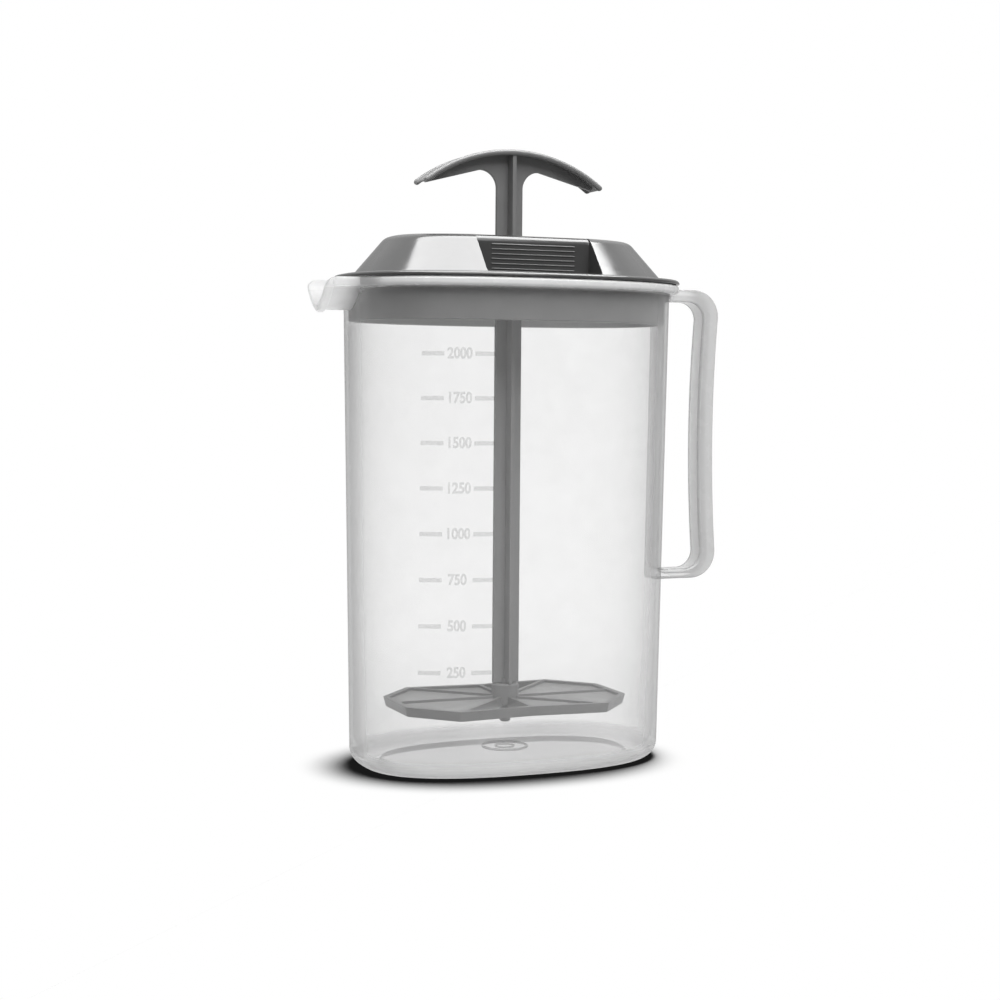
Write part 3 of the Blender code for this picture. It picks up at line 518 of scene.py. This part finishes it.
def lid_ring(inset, z, recess, grow):
    """One ring of the lid. Where a column lies in the recess, the point moves towards the recess' own section."""
    halves = shrunk(FLANGE_HALF, inset)
    flat_x = RECESS_COLUMNS[-1][0] + 1.5 + grow
    limit = math.acos((flat_x / halves[0]) ** (OVAL_POWER / 2))
    ring = []
    for kind, value, *rest in LID_COLUMNS:
        if kind == "angle":
            ring.append((*oval_point(halves, limit * value), z))
        elif kind == "mirror":
            ring.append((*oval_point(halves, math.pi - limit * value), z))
        else:
            x = value + math.copysign(grow * min(abs(value) / 23.5, 1), value)
            y, height = oval_depth(halves, x), z
            if recess:
                edge, share, wall_y, wall_z = recess
                edge_y = oval_depth(edge, x)
                inner_y = edge_y + (wall_y - edge_y) * share
                y, height = inner_y + (y - inner_y) * rest[0], wall_z + (z - wall_z) * rest[0]
            ring.append((x, y, height))
    return ring + [(-x, -y, height) for x, y, height in ring]


def shoulder_rings(start, end, top_round, grow):
    """Rings up the shoulder between two (inset, z), with the recess' floor, back wall and lip in its columns."""
    floor_z, back_y = RECESS_FLOOR_Z - grow * RECESS_FLOOR_SHARE, RECESS_Y - grow
    edge = shrunk(FLANGE_HALF, start[0])
    fillet, lip = RECESS_FILLET + grow, max(RECESS_LIP - grow / 4, 0.5)
    floor = [(share, back_y + fillet, floor_z) for share in spread(0, 1, 10)]
    corner = [(1.0, back_y + fillet - fillet * math.sin(turn), floor_z + fillet * (1 - math.cos(turn)))
              for turn in spread(0, math.pi / 2, 8)[1:]]
    top_z = end[1]
    wall = [(1.0, back_y, z) for z in spread(floor_z + fillet, top_z - lip, 14)[1:]]
    bend = [(1.0, back_y - lip * (1 - math.cos(turn)), top_z - lip + lip * math.sin(turn))
            for turn in spread(0, math.pi / 2, 9)[1:]]
    recess = floor + corner + wall
    slope = math.atan2(end[1] - start[1], end[0] - start[0])
    tangent = top_round * math.tan(slope / 2)
    slope_end = (end[0] - tangent * math.cos(slope), end[1] - tangent * math.sin(slope))
    rings = []
    for (share, y, z), inset, height in zip(recess, spread(start[0], slope_end[0], len(recess)),
                                            spread(start[1], slope_end[1], len(recess))):
        rings.append(lid_ring(inset, height, (edge, share, y, z), grow))
    for (share, y, z), turn in zip(bend, spread(slope, 0, len(bend) + 1)[1:]):
        inset = end[0] + tangent - top_round * math.sin(turn)
        height = top_z - top_round * (1 - math.cos(turn))
        rings.append(lid_ring(inset, height, (edge, share, y, z), grow))
    return rings


def make_lid_cover(material):
    """A shell of even thickness: flange, shoulder with its two recesses, flat top, and the cross-shaped hole."""
    inner = [lid_ring(SHOULDER_INSET + LID_WALL, FLANGE_BOTTOM_Z, None, LID_WALL)]
    inner += shoulder_rings((SHOULDER_INSET + LID_WALL, FLANGE_BOTTOM_Z + 0.9),
                            (TOP_INSET + LID_WALL / 2, LID_TOP_Z - LID_WALL), LID_INNER_ROUND, LID_WALL)
    low_round = FLANGE_TOP_Z - FLANGE_BOTTOM_Z - FLANGE_ROUND
    profile = arc((low_round, FLANGE_BOTTOM_Z + low_round), low_round, 270, 180, 4)[:-1]
    profile += arc((FLANGE_ROUND, FLANGE_TOP_Z - FLANGE_ROUND), FLANGE_ROUND, 180, 90, 12)
    profile += [(4.0, FLANGE_TOP_Z), (SHOULDER_INSET - 0.6, FLANGE_TOP_Z), (SHOULDER_INSET - 0.2, FLANGE_TOP_Z + 0.1)]
    outer = [lid_ring(inset, z, None, 0) for inset, z in profile]
    outer += shoulder_rings((SHOULDER_INSET, SHOULDER_Z), (TOP_INSET, LID_TOP_Z), LID_TOP_ROUND, 0)
    cover = mesh_from_rings(inner[::-1] + outer)

    length, depth = SHAFT_HALF_LENGTH + KEYHOLE_CLEARANCE, SHAFT_HALF_DEPTH + KEYHOLE_CLEARANCE
    rib = SHAFT_RIB / 2 + KEYHOLE_CLEARANCE
    cross = [(length, -rib), (length, rib), (rib, rib), (rib, depth), (-rib, depth), (-rib, rib),
             (-length, rib), (-length, -rib), (-rib, -rib), (-rib, -depth), (rib, -depth), (rib, -rib)]
    cover = combined(cover, [prism(cross, "Z", LID_TOP_Z - LID_WALL - OVERRUN, LID_TOP_Z + OVERRUN)], "DIFFERENCE")
    keep_piece("domed_lid_cover", smooth(cover), "lid", [material], "lid_cover")


def make_skirt(material):
    """The plain plug ring under the cover, rounded at its lower edge."""
    halves = jug_halves(SKIRT_BOTTOM_Z)
    outside, inside = SKIRT_CLEARANCE, SKIRT_CLEARANCE + SKIRT_WALL
    profile = [(outside, SKIRT_TOP_Z), (outside, SKIRT_MIDDLE_Z)]
    profile += arc((outside + SKIRT_ROUND, SKIRT_BOTTOM_Z + SKIRT_ROUND), SKIRT_ROUND, 180, 270, 4)
    profile += arc((inside - SKIRT_ROUND, SKIRT_BOTTOM_Z + SKIRT_ROUND), SKIRT_ROUND, 270, 360, 4)
    profile += [(inside, SKIRT_MIDDLE_Z), (inside, SKIRT_TOP_Z)]
    skirt = mesh_from_rings([oval(shrunk(halves, inset), z) for inset, z in profile], closed=True)
    keep_piece("lid_plug_skirt", smooth(skirt), "lid", [material], "lid_skirt")


def node_group(name, sizes):
    """A Geometry Nodes group with named float or int inputs, and the sockets that give them."""
    tree = bpy.data.node_groups.new(name, "GeometryNodeTree")
    tree.interface.new_socket("Geometry", in_out="OUTPUT", socket_type="NodeSocketGeometry")
    for size, value in sizes.items():
        kind = "NodeSocketInt" if isinstance(value, int) else "NodeSocketFloat"
        tree.interface.new_socket(size, in_out="INPUT", socket_type=kind)
    return tree, add_node(tree, "NodeGroupInput").outputs


def joined(tree, *parts):
    both = add_node(tree, "GeometryNodeJoinGeometry")
    for part in parts:
        tree.links.new(part, both.inputs[0])
    return both.outputs[0]


def grown(tree, made, material, sizes):
    """Ends a Geometry Nodes group, runs it with its sizes and gives the plain mesh."""
    real = socket(tree, "GeometryNodeRealizeInstances", {"Geometry": made})
    painted = socket(tree, "GeometryNodeSetMaterial", {"Geometry": real, "Material": material})
    add_node(tree, "NodeGroupOutput", {"Geometry": painted})
    thing = linked("scratch", bpy.data.meshes.new("seed"))
    change = thing.modifiers.new("grow", "NODES")
    change.node_group = tree
    for entry in tree.interface.items_tree:
        if entry.in_out == "INPUT":
            change[entry.identifier] = sizes[entry.name]
    return settle(thing)


def make_grip_ribs(material):
    """Low bars on the back wall of each finger recess, repeated by Geometry Nodes."""
    sizes = {"Count": RIB_COUNT, "Pitch": RIB_PITCH, "Half Length": RIB_HALF_LENGTH, "Height": RIB_HEIGHT,
             "Reach": RIB_REACH, "Wall": RECESS_Y - RIB_SINK, "First Z": RECESS_FLOOR_Z + RIB_RISE}
    tree, given = node_group("grip ribs", sizes)
    line = socket(tree, "GeometryNodeCurvePrimitiveLine", {
        "Start": vector(tree, X=calc(tree, "MULTIPLY", given["Half Length"], -1.0)),
        "End": vector(tree, X=given["Half Length"])})
    section = socket(tree, "GeometryNodeCurvePrimitiveCircle", {"Resolution": 16, "Radius": 0.5})
    bar = socket(tree, "GeometryNodeCurveToMesh", {"Curve": line, "Profile Curve": section, "Fill Caps": True})
    scale = vector(tree, X=1.0, Y=calc(tree, "MULTIPLY", given["Reach"], 2.0), Z=given["Height"])
    shaped = socket(tree, "GeometryNodeTransform", {"Geometry": bar, "Scale": scale})
    first = vector(tree, Y=calc(tree, "MULTIPLY", given["Wall"], -1.0), Z=given["First Z"])
    places = socket(tree, "GeometryNodeMeshLine", {
        "Count": given["Count"], "Start Location": first, "Offset": vector(tree, Z=given["Pitch"])})
    front = socket(tree, "GeometryNodeInstanceOnPoints", {"Points": places, "Instance": shaped})
    back = socket(tree, "GeometryNodeTransform", {"Geometry": front, "Rotation": (0.0, 0.0, math.pi)})
    ribs = grown(tree, joined(tree, front, back), material, sizes)
    keep_piece("recess_grip_ribs", smooth(ribs), "lid", [material])


# --- Plunger and disc ---

def make_plunger(material):
    """Arched handle with beaded edges on a web, running down into the cross-shaped shaft."""
    radius = (GRIP_HALF_SPAN ** 2 + GRIP_DROP ** 2) / (2 * GRIP_DROP)
    centre_z = CROWN_Z - radius
    half_angle = math.asin(GRIP_HALF_SPAN / radius)
    half, bead = GRIP_WIDTH / 2, GRIP_BEAD
    edge = half - 2 * bead
    section = [(edge - 2.6, -0.8), (edge - 0.9, -0.75)] + arc((half - bead, -bead), bead, 140, -150, 26)
    section += [(edge - 1.0, -GRIP_STRAP + 0.15)]
    section += [(-y, z) for y, z in reversed(section)]
    rings = []
    for turn, shrink in [(-1.0, 0.55), (-0.992, 0.85), (-0.98, 1.0)] + [
            (share, 1.0) for share in spread(-0.965, 0.965, 96)] + [(0.98, 1.0), (0.992, 0.85), (1.0, 0.55)]:
        angle = half_angle * turn
        ring = []
        for y, drop in section:
            y, drop = y * (1 - (1 - shrink) * 0.08), -bead + (drop + bead) * shrink
            ring.append(((radius + drop) * math.sin(angle), y, centre_z + (radius + drop) * math.cos(angle)))
        rings.append(ring)
    strap = mesh_from_rings(rings)

    low_z, stem = CROWN_Z - WEB_DROP, SHAFT_HALF_LENGTH
    tail, mid = radius - GRIP_STRAP - 0.9, radius - GRIP_STRAP / 2
    arch = half_angle - GRIP_STRAP / radius
    curve = [(-arch, tail), *[(turn, mid) for turn in spread(-arch, arch, 40)], (arch, tail)]
    web = [(reach * math.sin(turn), centre_z + reach * math.cos(turn)) for turn, reach in curve]
    fillet = arc((stem + WEB_FILLET, low_z - WEB_FILLET), WEB_FILLET, 90, 180, 14)
    side = fillet + [(stem, low_z - 2 * WEB_FILLET)]
    web += side + [(-x, z) for x, z in reversed(side)]
    rib = SHAFT_RIB / 2
    parts = [rounded(prism(web, "Y", -rib, rib), PLUNGER_EDGE, 2)]
    for length, depth, top_z in ((stem, rib, low_z - WEB_FILLET - 2), (rib, SHAFT_HALF_DEPTH, CROWN_Z - 1)):
        parts.append(rounded(prism(rectangle(length, depth), "Z", SHAFT_BOTTOM_Z, top_z), PLUNGER_EDGE, 2))
    collar = rounded_outline(rectangle(COLLAR_HALF, COLLAR_HALF), [COLLAR_ROUND] * 4)
    parts.append(rounded(prism(collar, "Z", COLLAR_BOTTOM_Z, COLLAR_TOP_Z), COLLAR_EDGE))
    parts.append(turned([(STUD_RADIUS - STUD_CHAMFER, STUD_BOTTOM_Z), (STUD_RADIUS, STUD_BOTTOM_Z + STUD_CHAMFER),
                         (STUD_RADIUS, SHAFT_BOTTOM_Z + 2)]))
    whole = merged([smooth(combined(parts[0], parts[1:], "UNION")), smooth(strap)])
    keep_piece("arched_plunger", whole, "plunger", [material], "plunger")


def inset_outline(points, insets):
    """Moves each side of an anticlockwise outline inward by its own inset."""
    lines = []
    for here, inset in enumerate(insets):
        start, end = Vector(points[here]), Vector(points[(here + 1) % len(points)])
        along = (end - start).normalized()
        lines.append((start + Vector((-along.y, along.x)) * inset, along))
    moved = []
    for here, (start, along) in enumerate(lines):
        before, before_along = lines[here - 1]
        gap = start - before
        reach = (gap.x * along.y - gap.y * along.x) / (before_along.x * along.y - before_along.y * along.x)
        moved.append(tuple(before + before_along * reach))
    return moved


def make_disc(materials):
    """Eight-cornered rim with rounded corners, eight spokes, thin webs in six fields, and the hub."""
    a, end, c, b, waist = (DISC_HALF_LENGTH, DISC_END_HALF, DISC_CORNER_X, DISC_HALF_DEPTH,
                           DISC_HALF_DEPTH - DISC_WAIST)
    top = [(a, -end), (a, end), (c, b), (0.0, waist), (-c, b), (-a, end), (-a, -end), (-c, -b), (0.0, -waist),
           (c, -b)]
    radii = [DISC_ROUND if x else DISC_WAIST_ROUND for x, y in top]
    low = inset_outline(top, [DISC_FLARE] * len(top))
    rings = [[(x, y, z) for x, y in rounded_outline(outline, radii, 6)]
             for outline, z in ((low, DISC_BOTTOM_Z), (top, DISC_TOP_Z))]
    disc = mesh_from_rings(rings)
    hub = (0.0, 0.0)
    fields = [[hub, (a, 0.0), top[1], top[2]], [hub, top[2], top[3]], [hub, top[3], top[4]],
              [hub, top[4], top[5], (-a, 0.0)], [hub, (-a, 0.0), top[6], top[7]], [hub, top[7], top[8]],
              [hub, top[8], top[9]], [hub, top[9], top[0], (a, 0.0)]]
    tools = []
    for number, field in enumerate(fields):
        insets = [DISC_WALL + DISC_FLARE] * len(field)
        insets[0] = insets[-1] = SPOKE_WIDTH / 2
        shape = inset_outline(field, insets)
        shape = rounded_outline(shape, [FIELD_ROUND] * len(shape), 4)
        if number in OPEN_FIELDS:
            tools.append(prism(shape, "Z", DISC_BOTTOM_Z - OVERRUN, DISC_TOP_Z + OVERRUN))
        else:
            tools.append(prism(shape, "Z", WEB_TOP_Z, DISC_TOP_Z + OVERRUN))
            tools.append(prism(shape, "Z", DISC_BOTTOM_Z - OVERRUN, WEB_BOTTOM_Z))
    disc = rounded(combined(disc, tools, "DIFFERENCE"), DISC_EDGE, 2)
    boss = turned([(HUB_RADIUS, HUB_BOTTOM_Z), (HUB_RADIUS, HUB_TOP_Z - HUB_CHAMFER),
                   (HUB_RADIUS - HUB_CHAMFER, HUB_TOP_Z)])
    bore = turned([(STUD_RADIUS + SEAT_GAP, z) for z in (DISC_BOTTOM_Z - OVERRUN, HUB_TOP_Z + OVERRUN)])
    disc = smooth(combined(combined(disc, [boss], "UNION"), [bore], "DIFFERENCE"))
    web = [int(abs(face.normal.z) > 0.9 and WEB_BOTTOM_Z - 0.05 < face.center.z < WEB_TOP_Z + 0.05)
           for face in disc.polygons]
    piece = keep_piece("stirring_disc", disc, "plunger", materials, "mixing_disc")
    piece.data.polygons.foreach_set("material_index", web)


# --- Printed scale ---

def on_wall(mesh):
    """Lays a mesh that was drawn flat in the XZ plane onto the jug's front wall, its own depth standing off it."""
    for vertex in mesh.vertices:
        x, depth, z = vertex.co
        vertex.co = (x, depth - oval_depth(jug_halves(z), x) - INK_STAND, z)
    return mesh


def make_scale(ink):
    """Marks and plain numbers: the bars are repeated by Geometry Nodes, the numbers set row by row."""
    sizes = {"Rows": SCALE_ROWS, "First Z": SCALE_FIRST_Z, "Pitch": SCALE_PITCH, "Shrink": -SCALE_SHRINK,
             "Bar": SCALE_BAR, "Bar Height": SCALE_BAR_HEIGHT, "Reach": SCALE_GAP + SCALE_BAR / 2,
             "Middle X": SCALE_X}
    tree, given = node_group("scale bars", sizes)
    index = socket(tree, "GeometryNodeInputIndex")
    bend = calc(tree, "MULTIPLY_ADD", calc(tree, "POWER", index, 2.0), given["Shrink"], given["First Z"])
    height = calc(tree, "MULTIPLY_ADD", index, given["Pitch"], bend)
    rows = socket(tree, "GeometryNodeMeshLine", {"Count": given["Rows"]})
    place = vector(tree, X=given["Middle X"], Z=height)
    points = socket(tree, "GeometryNodeSetPosition", {"Geometry": rows, "Position": place})
    flat = socket(tree, "GeometryNodeMeshGrid", {
        "Size X": given["Bar"], "Size Y": given["Bar Height"], "Vertices X": 12, "Vertices Y": 3})
    pair = [socket(tree, "GeometryNodeTransform", {
        "Geometry": flat, "Translation": vector(tree, X=reach), "Rotation": (math.pi / 2, 0.0, 0.0)})
        for reach in (given["Reach"], calc(tree, "MULTIPLY", given["Reach"], -1.0))]
    placed = socket(tree, "GeometryNodeInstanceOnPoints", {"Points": points, "Instance": joined(tree, *pair)})
    bars = thickened(on_wall(grown(tree, placed, ink, sizes)))
    keep_piece("scale_bars", bars, "pitcher", [ink])

    numbers = []
    for row in range(SCALE_ROWS):
        z = SCALE_FIRST_Z + SCALE_PITCH * row - SCALE_SHRINK * row ** 2
        text = bpy.data.curves.new("number", "FONT")
        text.body = str(SCALE_STEP_ML * (row + 1))
        text.size = SCALE_DIGIT / SCALE_CAP_SHARE
        text.offset = SCALE_BOLD
        text.align_x, text.align_y = "CENTER", "CENTER"
        mesh = settle(linked("number", text))
        mesh.transform(Matrix.Translation((SCALE_X, 0, z)) @ Matrix.Rotation(math.pi / 2, 4, "X")
                       @ Matrix.Scale(SCALE_NARROW, 4, (1, 0, 0)))
        numbers.append(mesh)
    keep_piece("scale_numbers", thickened(on_wall(merged(numbers))), "pitcher", [ink])


# --- Materials ---

def new_material(name):
    material = bpy.data.materials.new(name)
    material.use_nodes = True
    material.node_tree.nodes.clear()
    return material, material.node_tree


def surfaced(material, shader):
    """The material, with a shader as its surface."""
    add_node(material.node_tree, "ShaderNodeOutputMaterial", {"Surface": shader})
    return material


def noise(tree, feature, low=0.0, high=1.0):
    """Noise whose features are a size in millimetres, mapped to a range of values."""
    place = add_node(tree, "ShaderNodeTexCoord").outputs["Object"]
    spots = socket(tree, "ShaderNodeTexNoise", {"Vector": place, "Scale": 1 / (feature * MM)})
    return mapped(tree, spots, 0.3, 0.7, low, high)


def ramp(tree, place, start, end, high):
    """Rises smoothly from 0 to high as a coordinate goes from start to end, in millimetres."""
    return mapped(tree, place, start * MM, end * MM, 0.0, high, "SMOOTHSTEP")


def axis_ramp(tree, place, start, end, high):
    """A ramp along X, measured from the plunger's axis."""
    return ramp(tree, place, AXIS_X / MM + start, AXIS_X / MM + end, high)


def added(tree, *values):
    """The sum of several sockets, kept between 0 and 1."""
    total = values[0]
    for value in values[1:]:
        total = calc(tree, "ADD", total, value, use_clamp=True)
    return total


def blended(tree, share, first, second):
    """A mix of two shaders, by the second one's share."""
    return socket(tree, "ShaderNodeMixShader", {0: share, 1: first, 2: second})


def tinted(tree, share, first, second):
    """A mix of two colours, by the second one's share."""
    return add_node(tree, "ShaderNodeMix", {0: share, 6: first, 7: second}, data_type="RGBA").outputs[2]


def moulded(tree, colour, patch, roughness, grain, relief):
    """The skin of moulded polypropylene: patches of changing roughness over a fine grain, in millimetres."""
    bump = socket(tree, "ShaderNodeBump", {"Height": noise(tree, grain), "Distance": relief * MM})
    return socket(tree, "ShaderNodeBsdfPrincipled", {
        "Base Color": colour, "Roughness": noise(tree, patch, *roughness), "IOR": PLASTIC_IOR, "Normal": bump})


def clear_plastic(tree, facing, start, edge):
    """Lets light straight through, and takes up more of it from a facing on to the edge, where its way is longer."""
    return socket(tree, "ShaderNodeBsdfTransparent", {"Color": mapped(tree, facing, start, 1.0, 1.0, edge)})


def frosted(name, turning, roughness, edge=1.0, glowing=False):
    """Injection-moulded natural polypropylene, 1.8 mm thick: nearly clear straight through, milkier where the wall
    turns away, and white where it is thick, at the rim, the spout and the base. The turning points say how much haze
    one side of the wall has, and the edge how much light its clear share lets through where it is seen edge on. The
    level floor is clearer. A glowing finish has light from inside the spout."""
    material, tree = new_material(name)
    facing = add_node(tree, "ShaderNodeLayerWeight", {"Blend": 0.5}).outputs["Facing"]
    curve = add_node(tree, "ShaderNodeFloatCurve", {"Value": facing})
    points = curve.mapping.curves[0].points
    points[0].location, points[1].location = turning[0], turning[-1]
    for point in turning[1:-1]:
        points.new(*point)
    curve.mapping.update()
    place = axes(tree)
    thicker = [ramp(tree, place["Z"], *band) for band in (RIM_HAZE, LOW_HAZE, FLOOR_HAZE)]
    haze = added(tree, curve.outputs[0], *thicker, noise(tree, 12.0, -0.006, 0.010))
    level = calc(tree, "ABSOLUTE", axes(tree, "ShaderNodeNewGeometry", "Normal")["Z"])
    clear = clear_plastic(tree, facing, 0.46, mapped(tree, level, 0.3, 0.8, edge, 1.0))
    milky = moulded(tree, linear(0xF0F0F0), 5.0, (roughness, roughness + 0.06), 2.4, 0.0008)
    if glowing:
        through = socket(tree, "ShaderNodeBsdfTranslucent", {"Color": linear(0xF4F4F4)})
        milky = blended(tree, axis_ramp(tree, place["X"], *SPOUT_GLOW), milky, through)
    else:
        haze = calc(tree, "MULTIPLY", haze, mapped(tree, level, 0.7, 0.95, 1.0, 0.5))
    return surfaced(material, blended(tree, haze, clear, milky))


def milky_handle():
    """The same plastic in thick mouldings: milky white, with a little light passing through each side and less of it
    through the edges that turn away."""
    material, tree = new_material("milky_polypropylene_moulded")
    facing = add_node(tree, "ShaderNodeLayerWeight", {"Blend": 0.5}).outputs["Facing"]
    place = axes(tree)["X"]
    haze = added(tree, noise(tree, 14.0, 0.14, 0.17), axis_ramp(tree, place, *ARM_HAZE),
                 axis_ramp(tree, place, *GRIP_HAZE))
    milky = moulded(tree, linear(0xEAEAEA), 6.0, (0.22, 0.30), 2.4, 0.002)
    return surfaced(material, blended(tree, haze, clear_plastic(tree, facing, 0.38, 0.25), milky))


def grey_plastic(name, dark, light, roughness, cover=1.0, painted_light=None):
    """Grey moulded polypropylene: the melt's flow leaves faint cloudy bands, and the steel mould a satin skin. A thin
    web covers less, so light comes through it. Painted light makes a moulding paler along an axis, standing in for
    light that reaches it inside the jug: the axis, where that starts and ends in millimetres, and by how much."""
    material, tree = new_material(name)
    colour = tinted(tree, noise(tree, 16.0), linear(dark), linear(light))
    # painted light: the colour turns paler along the axis, standing in for light that falls on the moulding in the
    # jug
    if painted_light:
        axis, start, end, more = painted_light
        colour = tinted(tree, ramp(tree, axes(tree)[axis], start, end, 1.0), colour, linear(light + more))
    shader = moulded(tree, colour, 5.0, (roughness, roughness + 0.05), 3.0, 0.001)
    if cover < 1:
        clear = socket(tree, "ShaderNodeBsdfTransparent", {"Color": WHITE})
        shader = blended(tree, noise(tree, 8.0, cover - 0.02, cover + 0.02), clear, shader)
    return surfaced(material, shader)


def scale_ink():
    """Grey pad-printed ink, thin enough for the wall to show through."""
    material, tree = new_material("grey_pad_printed_ink")
    clear = socket(tree, "ShaderNodeBsdfTransparent", {"Color": WHITE})
    film = socket(tree, "ShaderNodeBsdfPrincipled", {
        "Base Color": linear(0x8C8C8C), "Roughness": 0.5, "IOR": PLASTIC_IOR})
    return surfaced(material, blended(tree, noise(tree, 0.7, 0.10, 0.16), clear, film))


# --- Studio ---

def make_camera():
    data = bpy.data.cameras.new("camera")
    data.sensor_width = CAMERA_SENSOR
    data.lens = CAMERA_LENS
    data.clip_start = CAMERA_NEAR * MM
    camera = linked("camera", data)
    yaw, distance = math.radians(CAMERA_YAW), CAMERA_DISTANCE * MM
    place = Vector((AXIS_X - distance * math.sin(yaw), -distance * math.cos(yaw), CAMERA_HEIGHT * MM))
    turn = Matrix.Rotation(-(yaw - math.radians(CAMERA_ASIDE)), 4, "Z")
    tilt = Matrix.Rotation(math.pi / 2 - math.radians(CAMERA_PITCH), 4, "X")
    lean = Matrix.Rotation(math.radians(CAMERA_ROLL), 4, "Z")
    camera.matrix_world = Matrix.Translation(place) @ turn @ tilt @ lean
    bpy.context.scene.camera = camera


def area_light(name, place, target, size, power, reflected_only):
    data = bpy.data.lights.new(name, "AREA")
    data.shape = "RECTANGLE"
    data.size, data.size_y = size
    data.energy = power
    light = linked(name, data)
    place, target = (Vector((AXIS_X + x, y, z)) for x, y, z in (place, target))
    light.location = place
    light.rotation_euler = (target - place).to_track_quat("-Z", "Y").to_euler()
    light.visible_diffuse = not reflected_only


def ray_kinds(tree):
    """A ray's own sockets, and 1 where the camera sees directly or through the plastic, else 0."""
    path = add_node(tree, "ShaderNodeLightPath").outputs
    return path, calc(tree, "MAXIMUM", path["Is Camera Ray"], path["Is Transmission Ray"])


def either(tree, share, first, second):
    """A mix of two numbers, by the second one's share."""
    return socket(tree, "ShaderNodeMix", {0: share, 2: first, 3: second})


def make_world():
    """A white backdrop: seen directly it is white all round; reflections show it behind the object, a dim room in
    front and a pale ceiling; and it lights the object softly, more from behind than from the front."""
    world = bpy.data.worlds.new("studio")
    bpy.context.scene.world = world
    world.use_nodes = True
    tree = world.node_tree
    tree.nodes.clear()
    way = axes(tree, output="Generated")
    path, seen = ray_kinds(tree)
    backdrop, sweep, ceiling = (mapped(tree, way[axis], *tones) for axis, tones in (
        ("Y", BACKDROP), ("Z", SWEEP), ("Z", CEILING)))
    mirrored = calc(tree, "MULTIPLY_ADD", backdrop, sweep, ceiling)
    lit = either(tree, path["Is Glossy Ray"], mapped(tree, way["Y"], *ROOM), mirrored)
    shade = socket(tree, "ShaderNodeBackground", {"Color": WHITE, "Strength": either(tree, seen, lit, 1.0)})
    add_node(tree, "ShaderNodeOutputWorld", {"Surface": shade})


def make_floor():
    """A pale table top: seen directly it is white with the object's soft contact shadow, which clears where the jug
    stands in front of it. Reflections show it white behind the object and dimmer in front, and it throws light up."""
    bm = bmesh.new()
    bmesh.ops.create_grid(bm, x_segments=1, y_segments=1, size=TABLE_HALF)
    floor = linked("table", released(bm, "table"))
    material, tree = new_material("white_table")
    path, seen = ray_kinds(tree)
    open_sky = add_node(tree, "ShaderNodeAmbientOcclusion", {
        "Distance": SHADOW_REACH, "Normal": vector(tree, **SHADOW_SIDE)}, samples=SHADOW_SAMPLES).outputs["AO"]
    shadow = calc(tree, "MAXIMUM", mapped(tree, open_sky, *SHADOW_TONES, "SMOOTHSTEP"),
                  mapped(tree, path["Transparent Depth"], *SEEN_THROUGH))
    level = either(tree, seen, mapped(tree, axes(tree)["Y"], *TABLE_MIRRORED), shadow)
    glow = socket(tree, "ShaderNodeEmission", {"Color": WHITE, "Strength": level})
    paper = socket(tree, "ShaderNodeBsdfDiffuse", {"Color": linear(0xB8B8B8)})
    lit = calc(tree, "MAXIMUM", seen, path["Is Glossy Ray"])
    floor.data.materials.append(surfaced(material, blended(tree, lit, paper, glow)))


def main():
    make_camera()
    make_world()
    make_floor()
    for lamp in LAMPS:
        area_light(*lamp)

    outside = frosted("frosted_polypropylene_textured_mould", OUTSIDE_HAZE, 0.28, edge=0.60)
    inside = frosted("frosted_polypropylene_polished_core", INSIDE_HAZE, 0.16, edge=0.92)
    thick = frosted("frosted_polypropylene_thick_rim_and_spout", THICK_HAZE, 0.24, glowing=True)
    handle = milky_handle()
    lid_grey = grey_plastic("grey_polypropylene_lid_polished_mould", 0x484848, 0x4E4E4E, 0.10)
    rib_grey = grey_plastic("grey_polypropylene_ribs_satin_mould", 0x444444, 0x4A4A4A, 0.50)
    # painted light: the shaft turns paler below the lid, standing in for the light and milky veil inside the jug
    plunger_grey = grey_plastic("grey_polypropylene_plunger_satin_mould", 0x787878, 0x7E7E7E, 0.42,
                                painted_light=("Z", LID_TOP_Z, LID_TOP_Z - 25, 0x1A1A1A))
    # painted light: the skirt turns paler towards its back, standing in for backlight from the white backdrop
    skirt_grey = grey_plastic("grey_polypropylene_skirt_satin_mould", 0x868686, 0x8C8C8C, 0.30,
                              painted_light=("Y", 5.0, 32.0, 0x585858))
    # painted light: the disc's grey is set paler than the plunger's above the lid, for the lower light inside the jug
    disc_grey = grey_plastic("grey_polypropylene_disc_satin_mould", 0x8C8C8C, 0x929292, 0.28)
    # painted light: the webs are far paler than the disc, standing in for light passing up through them; their clear
    # share is real
    web_grey = grey_plastic("grey_polypropylene_thin_web", 0xC8C8C8, 0xD0D0D0, 0.45, cover=0.72)
    make_jug([outside, inside, thick])
    make_gate_ring(inside)
    make_handle(handle)
    make_lid_cover(lid_grey)
    make_grip_ribs(rib_grey)
    make_skirt(skirt_grey)
    make_plunger(plunger_grey)
    make_disc([disc_grey, web_grey])
    make_scale(scale_ink())

    bpy.context.scene.view_settings.view_transform = "Standard"


main()
